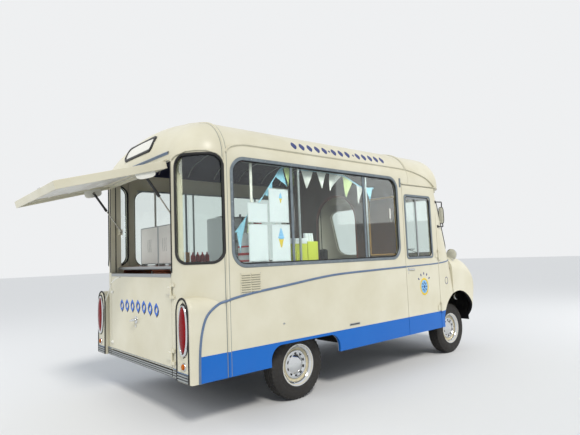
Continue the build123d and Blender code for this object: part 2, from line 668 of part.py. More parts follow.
# Floor with wheel boxes and the toe board
FLOOR_REAR = 45.0
FLOOR_HALF = HALF - 40
TOE_BOARD = (DOOR_FRONT + 30, DOOR_FRONT + 45)
TOE_TOP = 1080.0
BOX_ENDS = (REAR_AXLE - 440, REAR_AXLE + 440)
BOX_IN = WHEEL_FACE - TYRE_W - 65
BOX_TOP = 720.0
BOX_SKIN = 12.0
with BuildPart() as floor:
    span_box(FLOOR_REAR, TOE_BOARD[0], -FLOOR_HALF, FLOOR_HALF, FLOOR, FLOOR_TOP)
    add(body_form(WALL + 1, SKIRT), mode=Mode.INTERSECT)
    for side in (-1, 1):
        side_box(*BOX_ENDS, side, BOX_IN, FLOOR_HALF, FLOOR, BOX_TOP)
        side_box(
            BOX_ENDS[0] + BOX_SKIN, BOX_ENDS[1] - BOX_SKIN, side, BOX_IN + BOX_SKIN, HALF,
            FLOOR - 1, BOX_TOP - BOX_SKIN, mode=Mode.SUBTRACT,
        )
        side_box(
            0, JAMB_D, side, OPEN_HALF - MOVING_GAP, HALF,
            FLOOR - 1, FLOOR_TOP + 1, mode=Mode.SUBTRACT,
        )
    span_box(*TOE_BOARD, -HALF + WALL, HALF - WALL, FLOOR, TOE_TOP)
export(floor, "floor")

# Engine as one plain block with its two feet on the rails
ENGINE_BLOCKS = (
    # rear, front, half width, low, high
    (FRONT_AXLE - 240, FRONT_AXLE + 340, 230, 470, 960),
    (FRONT_AXLE - 80, FRONT_AXLE + 280, BETWEEN_RAILS, FLOOR, 540),
)
with BuildPart() as engine:
    for rear, front, half, low, high in ENGINE_BLOCKS:
        span_box(rear, front, -half, half, low, high)
export(engine, "engine")

# Front beam, rear axle and their springs
BEAM_LOW = 250.0
BEAM_HIGH = 310.0
BEAM_HALF = 30.0
BOSS_R = 34.0
BOSS_H = 84.0
PAD_HALF = 35.0
PAD_LENGTH = 80.0
SPRING_LOW = 350.0
AXLE_Z = TYRE_R
AXLE_TUBE_R = 45.0
AXLE_TUBE_HALF = WHEEL_FACE - TYRE_W - 20
HALF_SHAFT_R = 22.0
HALF_SHAFT_HALF = WHEEL_FACE - 60
FINAL_DRIVE = (130.0, 150.0)
KING_Z = (BEAM_LOW + BEAM_HIGH) / 2
KING_R = 13.0
KING_H = 150.0
with BuildPart() as front_beam:
    beam_half = PIN_Y - 20
    span_box(FRONT_AXLE - BEAM_HALF, FRONT_AXLE + BEAM_HALF, -beam_half, beam_half, BEAM_LOW, BEAM_HIGH)
    for side in (-1, 1):
        with Locations((at(FRONT_AXLE), side * PIN_Y, KING_Z)):
            Cylinder(BOSS_R, BOSS_H)
            Cylinder(KING_R + 1, BOSS_H + 2, mode=Mode.SUBTRACT)
        side_box(
            FRONT_AXLE - PAD_LENGTH / 2, FRONT_AXLE + PAD_LENGTH / 2, side,
            RAIL_Y - PAD_HALF, RAIL_Y + PAD_HALF, BEAM_HIGH, SPRING_LOW,
        )
export(front_beam, "front_beam")

with BuildPart() as rear_axle:
    with Locations(Location((at(REAR_AXLE), 0, AXLE_Z), (90, 0, 0))):
        Cylinder(AXLE_TUBE_R, AXLE_TUBE_HALF * 2)
        Cylinder(HALF_SHAFT_R, HALF_SHAFT_HALF * 2)
        Cylinder(*FINAL_DRIVE)
    for side in (-1, 1):
        side_box(
            REAR_AXLE - PAD_LENGTH / 2, REAR_AXLE + PAD_LENGTH / 2, side,
            RAIL_Y - PAD_HALF, RAIL_Y + PAD_HALF, AXLE_Z, SPRING_LOW,
        )
export(rear_axle, "rear_axle")

SPRING_W = 56.0
SPRING_EYE = (384.0, RAIL_LOW)
SPRING_MIDDLE = (SPRING_LOW, 380.0)
SPRINGS = (
    # station, reach either way
    (REAR_AXLE, 540),
    (FRONT_AXLE, 420),
)
with BuildPart() as springs:
    for station, reach in SPRINGS:
        for side in (-1, 1):
            with BuildSketch(Plane.XZ.offset(-side * RAIL_Y - SPRING_W / 2)):
                with BuildLine():
                    low, high = [
                        ThreePointArc(
                            (at(station - reach), end), (at(station), middle), (at(station + reach), end)
                        )
                        for end, middle in zip(SPRING_EYE, SPRING_MIDDLE)
                    ]
                    Line(low @ 0, high @ 0)
                    Line(low @ 1, high @ 1)
                make_face()
            extrude(amount=SPRING_W)
export(springs, "springs")

# Knuckles that carry the front wheels
YOKE_OFF = 57.0
YOKE_T = 22.0
YOKE_HALF = 24.0
YOKE_REACH = 62.0
YOKE_WALL = 20.0
STUB_R = 22.0
STUB_START = 50.0
STUB_LENGTH = 70.0
for name, side in (("right", -1), ("left", 1)):
    with BuildPart() as knuckle:
        yoke = (FRONT_AXLE - YOKE_HALF, FRONT_AXLE + YOKE_HALF, side)
        outer = PIN_Y + YOKE_REACH
        with Locations((at(FRONT_AXLE), side * PIN_Y, KING_Z)):
            Cylinder(KING_R, KING_H)
        for z in (KING_Z - YOKE_OFF, KING_Z + YOKE_OFF):
            with Locations((at(FRONT_AXLE), side * PIN_Y, z)):
                Cylinder(BOSS_R, YOKE_T)
            side_box(*yoke, PIN_Y, outer, z - YOKE_T / 2, z + YOKE_T / 2)
        reach = YOKE_OFF + YOKE_T / 2
        side_box(*yoke, outer - YOKE_WALL, outer, KING_Z - reach, KING_Z + reach)
        with BuildSketch(Plane.XZ.offset(-side * (PIN_Y + STUB_START))):
            with Locations((at(FRONT_AXLE), AXLE_Z)):
                Circle(STUB_R)
        extrude(amount=-side * STUB_LENGTH)
    export(knuckle, "knuckle_" + name)

# Wheels: tyre and rim at each of four corners
WHEELS = (
    # name, station, side
    ("rear_right", REAR_AXLE, -1),
    ("rear_left", REAR_AXLE, 1),
    ("front_right", FRONT_AXLE, -1),
    ("front_left", FRONT_AXLE, 1),
)
for name, station, side in WHEELS:
    hub = Plane(origin=(at(station), side * WHEEL_Y, AXLE_Z), x_dir=(1, 0, 0), z_dir=(0, side, 0))
    axle_line = Axis(hub.origin, (0, side, 0))
    half_w = TYRE_W / 2
    section = Plane(origin=hub.origin, x_dir=(0, side, 0), z_dir=(-side, 0, 0))
    with BuildPart() as tyre:
        with BuildSketch(section):
            with BuildLine():
                Polyline((-half_w + 12, RIM_R), (half_w - 12, RIM_R))
                ThreePointArc((half_w - 12, RIM_R), (half_w, 240), (half_w - 18, 294))
                ThreePointArc((half_w - 18, 294), (0, TYRE_R), (-half_w + 18, 294))
                ThreePointArc((-half_w + 18, 294), (-half_w, 240), (-half_w + 12, RIM_R))
            make_face()
        revolve(axis=axle_line)
    export(tyre, "tyre_" + name)
    with BuildPart() as rim:
        with BuildSketch(section):
            with BuildLine():
                Polyline(
                    (-half_w + 14, RIM_R), (half_w - 14, RIM_R), (half_w - 14, RIM_R - 12),
                    (40, RIM_R - 16), (24, 120), (34, 80), (34, 23), (14, 23), (14, 90),
                    (6, 130), (20, RIM_R - 26), (-half_w + 14, RIM_R - 14), close=True,
                )
            make_face()
        revolve(axis=axle_line)
    export(rim, "rim_" + name)

# Inside the body: bulkhead with an arched way through
BULKHEAD = (DOOR_REAR - 54, DOOR_REAR - 32)
ARCHWAY = (330.0, 1700.0, 2030.0)
with BuildPart() as bulkhead:
    span_box(*BULKHEAD, -FLOOR_HALF, FLOOR_HALF, FLOOR_TOP, ABOVE)
    add(body_inner, mode=Mode.INTERSECT)
    half, spring, crown = ARCHWAY
    with BuildSketch(Plane.YZ.offset(at(BULKHEAD[0] - 10))):
        with BuildLine():
            Line((-half, FLOOR), (-half, spring))
            ThreePointArc((-half, spring), (0, crown), (half, spring))
            Line((half, spring), (half, FLOOR))
            Line((half, FLOOR), (-half, FLOOR))
        make_face()
    extrude(amount=BULKHEAD[1] - BULKHEAD[0] + 20, mode=Mode.SUBTRACT)
export(bulkhead, "bulkhead")

# Rear serving tray on two legs, and a cabinet along each side
COUNTER_TOP = 1245.0
COUNTER_T = 30.0
TRAY_HALF = OPEN_HALF - 15
TRAY_ENDS = (HATCH_FLANGE + MOVING_GAP + 8, 420.0)
TRAY_LEG = (120.0, 400.0)
WORKTOP = 24.0
OVERHANG = 15.0
CABINETS = (
    # side, rear, front, inner, outer, top of the box
    (1, 560, DOOR_REAR - 354, HALF - 520, HALF - 70, 1180),
    (-1, 600, 1640, HALF - 440, HALF - 70, 1140),
)
CABINET_TOP = CABINETS[0][5] + WORKTOP
with BuildPart() as counters:
    span_box(*TRAY_ENDS, -TRAY_HALF, TRAY_HALF, COUNTER_TOP - COUNTER_T, COUNTER_TOP)
    for side in (-1, 1):
        side_box(*TRAY_LEG, side, TRAY_HALF - COUNTER_T, TRAY_HALF, FLOOR_TOP, COUNTER_TOP)
    for side, rear, front, inner, outer, top in CABINETS:
        side_box(rear, front, side, inner, outer, FLOOR_TOP, top)
        side_box(
            rear - OVERHANG, front + OVERHANG, side, inner - OVERHANG, outer + OVERHANG, top, top + WORKTOP,
        )
        side_box(*BOX_ENDS, side, min(inner, BOX_IN) + 40, FLOOR_HALF, FLOOR, BOX_TOP, mode=Mode.SUBTRACT)
export(counters, "counters")

# Soft-serve machine on the left cabinet
MACHINE = (1250.0, 1750.0, HALF - 480, HALF - 100, 580.0)
MACHINE_EASE = 24.0
MACHINE_FACE = MACHINE[2]
SPOUT = (1390.0, 1610.0, MACHINE_FACE - 90, 1500.0, 1650.0)
DRIP_TRAY = (1370.0, 1630.0, MACHINE_FACE - 120, 1262.0, 1280.0)
NOZZLES = (1440.0, 1560.0)
NOZZLE = (24.0, 40.0, MACHINE_FACE - 50, 1485.0)
LEVER = (7.0, 130.0, MACHINE_FACE - 102, 1610.0)
LEVER_LEAN = 20.0
KNOB_R = 16.0
with BuildPart() as machine:
    rear, front, near, far, height = MACHINE
    span_box(rear, front, near, far, CABINET_TOP, CABINET_TOP + height)
    fillet(machine.edges().filter_by(Axis.X), MACHINE_EASE)
    fillet(machine.edges().filter_by(Axis.Z), MACHINE_EASE)
    for rear, front, inner, low, high in (SPOUT, DRIP_TRAY):
        span_box(rear, front, inner, near + 2, low, high)
    for station in NOZZLES:
        radius, length, y, z = NOZZLE
        with Locations((at(station), y, z)):
            Cylinder(radius, length)
        radius, length, y, z = LEVER
        with Locations(Location((at(station), y, z), (LEVER_LEAN, 0, 0))):
            Cylinder(radius, length)
            with Locations((0, 0, length / 2 + KNOB_R / 4)):
                Sphere(KNOB_R)
export(machine, "machine")

# Two seats, each of one cushion, one back and a box beneath
SEAT_Y = HALF - 480
SEAT_SOFT = 35.0
SEAT_HALF = 230.0
SEAT_CUSHION = (DOOR_REAR + 36, DOOR_REAR + 466, 780.0, 900.0)
SEAT_BACK = (DOOR_REAR + 16, DOOR_REAR + 126, 860.0, 1380.0)
SEAT_BOX = (DOOR_REAR + 46, DOOR_REAR + 406, 180.0)
cushions = []
for y in (-SEAT_Y, SEAT_Y):
    for rear, front, low, high in (SEAT_CUSHION, SEAT_BACK):
        with BuildPart() as cushion:
            span_box(rear, front, y - SEAT_HALF, y + SEAT_HALF, low, high)
            fillet(cushion.edges(), SEAT_SOFT)
        cushions.append(cushion.part)
with BuildPart() as seats:
    for piece in cushions:
        add(piece)
    rear, front, half = SEAT_BOX
    for y in (-SEAT_Y, SEAT_Y):
        span_box(rear, front, y - half, y + half, FLOOR_TOP, SEAT_CUSHION[2])
export(seats, "seats")

# Dash rail with the dial housing, and the steering wheel before it
DASH = (DOOR_FRONT + 45, DOOR_FRONT + 180, HALF - 60, 1000.0, 1130.0)
DASH_EASE = 30.0
DIAL_HOUSING = (95.0, 90.0, DOOR_FRONT + 100)
STEER_AT = (DOOR_FRONT - 170, -SEAT_Y, 1110.0)
STEER_LEAN = 17.5
STEER_R = 205.0
STEER_GRIP = 11.0
STEER_SPOKE = (24.0, 400.0, 10.0)
STEER_BOSS = (30.0, 30.0)
COLUMN = 600.0
COLUMN_R = 18.0
COLUMN_FOOT = (45.0, 10.0, 30.0, 40.0)
with BuildPart() as dash:
    rear, front, half, low, high = DASH
    span_box(rear, front, -half, half, low, high)
    fillet(dash.edges().filter_by(Axis.Y), DASH_EASE)
    radius, depth, station = DIAL_HOUSING
    with Locations(Location((at(station), STEER_AT[1], high - 5), (0, 90, 0))):
        Cylinder(radius, depth)
export(dash, "dash")

with BuildPart() as steering_wheel:
    foot_x = STEER_AT[0] + COLUMN * sin(radians(STEER_LEAN))
    with Locations(Location((at(STEER_AT[0]), STEER_AT[1], STEER_AT[2]), (0, -STEER_LEAN, 0))):
        Torus(STEER_R, STEER_GRIP)
        Box(*STEER_SPOKE)
        Cylinder(*STEER_BOSS)
        with Locations((0, 0, -COLUMN / 2 + 10)):
            Cylinder(COLUMN_R, COLUMN - 20)
    back, fore, half, high = COLUMN_FOOT
    y = STEER_AT[1]
    span_box(foot_x - back, foot_x + fore, y - half, y + half, FLOOR_TOP, FLOOR_TOP + high)
export(steering_wheel, "steering_wheel")

# Round wing mirrors on short stems
MIRROR = (FRONT_AXLE - 20, HALF - 50, 1232.0)
MIRROR_HEAD = (70.0, 14.0)
MIRROR_STEM = (7.0, 60.0)
with BuildPart() as mirrors:
    station, reach, height = MIRROR
    for side in (-1, 1):
        with Locations(Location((at(station), side * reach, height), (0, 90, 0))):
            Cylinder(*MIRROR_HEAD)
        with Locations((at(station + 12), side * reach, height - MIRROR_HEAD[0] + 3)):
            Cylinder(*MIRROR_STEM)
    add(nose_outer, mode=Mode.SUBTRACT)
export(mirrors, "mirrors")

# Fuel tank, and the exhaust pipe with its silencer and two hangers
TANK = (1750.0, 2250.0, -HALF + 100, -RAIL_Y - 70, 400.0, FLOOR)
PIPE_AT = (1960.0, HALF - 440, 410.0)
PIPE = (22.0, 1900.0)
SILENCER = (60.0, 480.0)
HANGERS = (1640.0, 2300.0)
HANGER_HALF = 10.0
with BuildPart() as underfloor:
    span_box(*TANK)
    station, y, z = PIPE_AT
    with Locations(Location((at(station), y, z), (0, 90, 0))):
        Cylinder(*PIPE)
        Cylinder(*SILENCER)
    for station in HANGERS:
        span_box(station - HANGER_HALF, station + HANGER_HALF, y - HANGER_HALF, y + HANGER_HALF, z, z + 30)
export(underfloor, "underfloor")

# Bowed bumper on two irons
BUMPER_LOW = 455.0
BUMPER_H = 110.0
BUMPER_T = 30.0
BUMPER_END = (FRONT_AXLE + 535, HALF - 150)
BUMPER_FRONT = FRONT_AXLE + 665
IRON = (FRONT_AXLE + 470, FRONT_AXLE + 620, 470.0, 498.0)
IRON_HALF = 25.0
with BuildPart() as bumper:
    station, half = BUMPER_END
    back, inner = station - BUMPER_T + 2, half - 6
    with BuildSketch(Plane.XY.offset(BUMPER_LOW)):
        with BuildLine():
            ThreePointArc((at(station), -half), (at(BUMPER_FRONT), 0), (at(station), half))
            Line((at(station), half), (at(back), inner))
            ThreePointArc((at(back), inner), (at(BUMPER_FRONT - BUMPER_T), 0), (at(back), -inner))
            Line((at(back), -inner), (at(station), -half))
        make_face()
    extrude(amount=BUMPER_H)
    rear, front, low, high = IRON
    for side in (-1, 1):
        side_box(rear, front, side, RAIL_Y - IRON_HALF, RAIL_Y + IRON_HALF, low, high)
export(bumper, "bumper")
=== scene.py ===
"""Coachbuilt ice cream van: paint, glass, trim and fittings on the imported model.

Lengths in the tables are millimetres. A station is measured forward from the flat rear face.
"""
import math

import bmesh
import bpy
from bpy.props import FloatProperty, FloatVectorProperty, PointerProperty
from mathutils import Matrix, Vector
from mathutils.bvhtree import BVHTree


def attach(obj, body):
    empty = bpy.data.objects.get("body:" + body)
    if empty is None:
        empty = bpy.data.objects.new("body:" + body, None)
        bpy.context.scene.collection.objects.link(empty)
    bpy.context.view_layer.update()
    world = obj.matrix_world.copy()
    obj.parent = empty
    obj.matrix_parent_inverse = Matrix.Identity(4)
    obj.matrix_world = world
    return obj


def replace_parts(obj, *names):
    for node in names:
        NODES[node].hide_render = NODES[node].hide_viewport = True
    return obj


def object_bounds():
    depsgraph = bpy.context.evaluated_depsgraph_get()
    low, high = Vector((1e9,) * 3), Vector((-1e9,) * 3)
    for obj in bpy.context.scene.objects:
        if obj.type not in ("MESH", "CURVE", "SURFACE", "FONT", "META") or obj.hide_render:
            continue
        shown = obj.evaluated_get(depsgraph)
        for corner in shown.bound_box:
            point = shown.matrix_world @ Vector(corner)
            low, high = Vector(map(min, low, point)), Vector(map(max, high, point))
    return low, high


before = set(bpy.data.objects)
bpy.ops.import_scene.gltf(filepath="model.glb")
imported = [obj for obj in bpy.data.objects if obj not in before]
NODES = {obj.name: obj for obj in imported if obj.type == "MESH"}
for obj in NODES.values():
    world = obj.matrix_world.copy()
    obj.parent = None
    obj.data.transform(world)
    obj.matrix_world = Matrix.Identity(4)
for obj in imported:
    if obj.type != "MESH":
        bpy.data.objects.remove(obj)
CAD_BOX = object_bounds()
SKINS = {}
FINISHES = {}

bl_info = {
    "name": "Coachbuilt ice cream van",
    "version": (1, 0, 0),
    "blender": (4, 5, 0),
    "location": "3D View > Sidebar > Van",
    "description": "Dresses the packed van with paint, glass, trim and fittings",
    "category": "Object",
}

REAR = -1760.0
HALF = 1000.0
SKIRT = 377.0
SKIRT_TOP = 570.0
CORNER_R = 340.0
REAR_AXLE, FRONT_AXLE = 1130, 3720
RIGHT, LEFT = -1, 1
SIDES = ((RIGHT, "right"), (LEFT, "left"))
FORE, AFT = Vector((1, 0, 0)), Vector((-1, 0, 0))
UP, DOWN = Vector((0, 0, 1)), Vector((0, 0, -1))
OUT = {RIGHT: Vector((0, -1, 0)), LEFT: Vector((0, 1, 0))}
WELD = 0.00002


# Places and colours

def at(station, y, z):
    """Point from a station, a side distance and a height in millimetres."""
    return Vector((REAR + station, y, z)) / 1000


def hexed(code):
    """Linear colour from an sRGB hex value."""
    parts = [int(code[i:i + 2], 16) / 255 for i in (0, 2, 4)]
    line = [c / 12.92 if c <= 0.04045 else ((c + 0.055) / 1.055) ** 2.4 for c in parts]
    return (*line, 1.0)


def skin(*names):
    """Search tree over the surfaces of several nodes, kept for the next call."""
    if names not in SKINS:
        corners, faces = [], []
        for name in names:
            mesh = NODES[name].data
            start = len(corners)
            corners += [v.co.copy() for v in mesh.vertices]
            faces += [[start + i for i in p.vertices] for p in mesh.polygons]
        SKINS[names] = BVHTree.FromPolygons(corners, faces)
    return SKINS[names]


def onto(tree, start, way):
    """Point and outward normal where a ray from start first meets a skin."""
    place, normal, _, _ = tree.ray_cast(start, way)
    if place is None:
        raise RuntimeError("a trim path misses its panel at %s" % [round(c, 3) for c in start])
    if normal.dot(way) > 0:
        normal = -normal
    return place, normal


def side_path(tree, side, points):
    """Points and normals on one side of the body for a list of (station, height)."""
    return [onto(tree, at(s, side * 1300, z), OUT[-side]) for s, z in points]


def smooth_line(points, count):
    """Evenly walked points along a smooth line through a short table of places."""
    flat = [Vector((*p, 0)) if len(p) == 2 else Vector(p) for p in points]
    ends = [flat[0] * 2 - flat[1], *flat, flat[-1] * 2 - flat[-2]]
    line = []
    for k in range(1, len(ends) - 2):
        a, b, c, d = ends[k - 1:k + 3]
        for i in range(count):
            t = i / count
            line.append(0.5 * (2 * b + (c - a) * t + (2 * a - 5 * b + 4 * c - d) * t * t
                               + (3 * b - a - 3 * c + d) * t ** 3))
    return [*line, flat[-1]]


def height_on(line, station):
    """Height of a line of (station, height) points at a station."""
    for (x0, z0), (x1, z1) in zip(line, line[1:]):
        if x0 <= station <= x1:
            return z0 + (z1 - z0) * (station - x0) / max(x1 - x0, 1e-6)
    return line[-1][1]


def rounded(x0, x1, z0, z1, radius, steps=6):
    """Corner-rounded rectangle as (x, z) points, counterclockwise."""
    ring = []
    for cx, cz, turn in ((x1, z1, 0), (x0, z1, 90), (x0, z0, 180), (x1, z0, 270)):
        cx += radius if cx == x0 else -radius
        cz += radius if cz == z0 else -radius
        for i in range(steps + 1):
            angle = math.radians(turn + 90 * i / steps)
            ring.append((cx + radius * math.cos(angle), cz + radius * math.sin(angle)))
    return ring


# Nodes of a material

def add(tree, kind, feeds=None, **settings):
    """Adds a node: settings are its properties, feeds fill its sockets with nodes, outputs, numbers or hex colours."""
    made = tree.nodes.new("ShaderNode" + kind)
    for name, value in settings.items():
        setattr(made, name, value)
    feed(tree, made, feeds or {})
    return made


def feed(tree, node, feeds):
    """Fills the sockets that a node shows, by name or by number."""
    shown = [s for s in node.inputs if s.enabled]
    for socket, value in feeds.items():
        target = shown[socket] if isinstance(socket, int) else next(s for s in shown if s.name == socket)
        if isinstance(value, bpy.types.Node):
            value = next(s for s in value.outputs if s.enabled)
        if isinstance(value, bpy.types.NodeSocket):
            tree.links.new(value, target)
        else:
            target.default_value = hexed(value) if isinstance(value, str) else value


def finish(name, colour, rough, metal=0.0, **sockets):
    """New material; its tree, its principled shader and the object's own coordinates."""
    made = bpy.data.materials.new(name)
    made.use_nodes = True
    tree = made.node_tree
    shader = tree.nodes["Principled BSDF"]
    feed(tree, shader, {"Base Color": colour, "Roughness": rough, "Metallic": metal,
                        **{socket.replace("_", " "): value for socket, value in sockets.items()}})
    made.diffuse_color = hexed(colour)
    FINISHES[name] = made
    return tree, shader, add(tree, "TexCoord").outputs["Object"]


def grain(tree, place, scale, detail=3.0, stretch=(1, 1, 1)):
    """Noise over a place, scale in features per metre."""
    spread = add(tree, "Mapping", {"Vector": place, "Scale": stretch})
    return add(tree, "TexNoise", {"Vector": spread, "Scale": scale, "Detail": detail})


def dress(tree, shader, pattern, pair=None, spans=None, bump=None):
    """Drives colour between a pair, roughness over spans and a bump of (strength, metres) from one pattern."""
    if pair:
        feed(tree, shader, {"Base Color": add(tree, "Mix", {0: pattern, "A": pair[0], "B": pair[1]},
                                              data_type="RGBA")})
    if spans:
        feed(tree, shader, {"Roughness": add(tree, "MapRange", {"Value": pattern, **dict(zip(
            ("From Min", "From Max", "To Min", "To Max"), spans))})})
    if bump:
        feed(tree, shader, {"Normal": add(tree, "Bump", {"Height": pattern, "Strength": bump[0],
                                                         "Distance": bump[1]})})


def gate(tree, *tests):
    """One where every (output, operation, number) test holds."""
    held = None
    for value, operation, limit in tests:
        test = add(tree, "Math", {0: value, 1: limit}, operation=operation)
        held = test if held is None else add(tree, "Math", {0: held, 1: test}, operation="MULTIPLY")
    return held


# Finishes

def coach_enamel(name, skirt=None):
    """Brushed and flatted coach enamel: soft gloss, faint orange peel, road dust, underseal inside the nose."""
    tree, shader, place = finish(name, "D0CCB8", 0.32, Coat_Weight=0.05, Coat_Roughness=0.25,
                                 Specular_IOR_Level=0.28)
    shade = grain(tree, place, 3.2, 4.0)
    patches = add(tree, "MapRange", {"Value": shade, "From Min": 0.35, "From Max": 0.7})
    colour = add(tree, "Mix", {0: patches, "A": "D0CCB8", "B": "C8C3AC"}, data_type="RGBA")
    axes = add(tree, "SeparateXYZ", {"Vector": place})
    x, y, z = axes.outputs
    if skirt:
        rear, inner = skirt
        wide = add(tree, "Math", {0: y}, operation="ABSOLUTE")
        band = gate(tree, (z, "LESS_THAN", SKIRT_TOP / 1000), (x, "GREATER_THAN", rear), (wide, "GREATER_THAN", inner))
        blue = add(tree, "Mix", {0: shade, "A": "005CB2", "B": "0064BA"}, data_type="RGBA")
        colour = add(tree, "Mix", {0: band, "A": colour, "B": blue}, data_type="RGBA")
    dust = grain(tree, place, 9.0, 5.0, (1, 1, 0.35))
    fall = add(tree, "MapRange", {"Value": z, "From Min": 0.38, "From Max": 0.85, "To Min": 0.06, "To Max": 0.0})
    film = add(tree, "Math", {0: fall, 1: dust}, operation="MULTIPLY")
    colour = add(tree, "Mix", {0: film, "A": colour, "B": "8B8068"}, data_type="RGBA")
    arm = add(tree, "VectorMath", {0: place, 1: at(3730, 0, 700)}, operation="SUBTRACT")
    normal = add(tree, "TexCoord").outputs["Normal"]
    facing = add(tree, "VectorMath", {0: arm, 1: normal}, operation="DOT_PRODUCT")
    sealed = gate(tree, (facing, "LESS_THAN", 0.0), (z, "LESS_THAN", 1.08), (x, "GREATER_THAN", (REAR + 3352) / 1000))
    colour = add(tree, "Mix", {0: sealed, "A": colour, "B": "17171A"}, data_type="RGBA")
    feed(tree, shader, {"Base Color": colour})
    dress(tree, shader, dust, spans=(0.3, 0.7, 0.28, 0.42))
    dress(tree, shader, grain(tree, place, 420.0, 2.0), bump=(0.03, 0.0003))


# Noise scale per metre, detail and stretch, then two colours, spans of noise and roughness, and bump
GRAINED = (
    # Moulded rubber: matt, a little grey with age
    ("moulded_rubber", "141414", 0.62, 0.0, (60, 3), ("0E0E0F", "202022"), None, ((900, 2), 0.15, 0.0005)),
    # Tyre rubber: near black, with brown-grey road film in patches
    ("tyre_rubber", "1B1A19", 0.7, 0.0, (24, 5), ("161616", "2D2A26"), (0.3, 0.7, 0.55, 0.85),
     ((700, 3), 0.25, 0.0008)),
    # Extruded aluminium: fine lines along its length and dull oxide patches
    ("extruded_aluminium", "A9ADAE", 0.36, 1.0, (38, 3, (1, 1, 30)), ("8D9294", "BFC3C3"), (0.3, 0.7, 0.28, 0.5), None),
    # Window frame aluminium: weathered to a blue grey, with soft pits
    ("weathered_aluminium", "7C868C", 0.45, 0.7, (22, 5), ("5C666D", "949EA4"), (0.3, 0.7, 0.34, 0.6),
     (None, 0.12, 0.0006)),
    # Chromium plate: a mirror with a few pits
    ("chromium_plate", "D8DADB", 0.08, 1.0, (180, 4), None, (0.45, 0.75, 0.06, 0.22), None),
    # Stainless sheet of the machine: brushed upright
    ("stainless_steel", "C4C7C8", 0.36, 0.75, (90, 3, (1, 1, 0.03)), ("B4B8BA", "D2D4D4"), (0.3, 0.7, 0.3, 0.44), None),
)
# Colour, second colour in soft patches of about 80 mm, roughness, metal, and what the eye gets
PLAIN = (
    ("white_enamel", "E6E6DF", "D9D8CE", 0.3, 0.0),  # brushed gloss, yellowed
    ("white_laminate", "DDDCD5", "D2D1C9", 0.35, 0.0),  # pressed sheet, wiped dull
    ("navy_vinyl", "1B2036", "23284A", 0.55, 0.0),  # calendered cloth-backed vinyl
    ("black_enamel", "121213", "1D1D1E", 0.4, 0.0),  # stoved, half gloss
    ("chassis_black", "151515", "26221E", 0.6, 0.0),  # bitumen paint with rust under it
    ("grey_floor_vinyl", "5A5D60", "4A4D50", 0.6, 0.0),  # rolled, scuffed
    ("blue_enamel", "1558B4", "1A62C2", 0.25, 0.0),  # brushed gloss
    ("navy_enamel", "22336F", "1C2C64", 0.35, 0.0),  # signwriter's enamel
    ("yellow_enamel", "D9BE2F", "CFB020", 0.35, 0.0),  # signwriter's enamel
    ("pale_blue_enamel", "7FB4DC", "6FA8D4", 0.35, 0.0),  # signwriter's enamel
    ("red_card", "B3222A", "A51C24", 0.5, 0.0),  # inked board
    ("white_card", "CDD4D8", "C4CBD0", 0.5, 0.0),  # board behind glass
    ("yellow_green_card", "B9C13A", "A9B22E", 0.5, 0.0),  # inked board
    ("cast_iron", "2A2B2B", "1F2020", 0.65, 0.4),  # sand cast, oily
    ("spring_steel", "2B2825", "3A332C", 0.55, 0.6),  # rolled leaves, rust film
    ("ivory_bakelite", "DCD2B2", "CFC39E", 0.3, 0.0),  # moulded, aged ivory
    ("grey_enamel", "7F8580", "757B76", 0.35, 0.0),  # stoved
    ("bright_steel_rod", "B9B6AC", "A9A598", 0.25, 1.0),  # drawn bar
    ("cream_wheel", "D5CBAC", "C3B998", 0.32, 0.0),  # stoved rim paint
    ("wafer", "C98F48", "B67C38", 0.7, 0.0),  # baked
    ("stained_plywood", "523B2C", "402D21", 0.45, 0.0),  # varnished brown
    ("sheet_galvanised", "8E9494", "7A8080", 0.45, 0.9),  # dipped, faint spangle
    ("oiled_beech", "B9924A", "A37E3C", 0.4, 0.0),  # planed strip
)


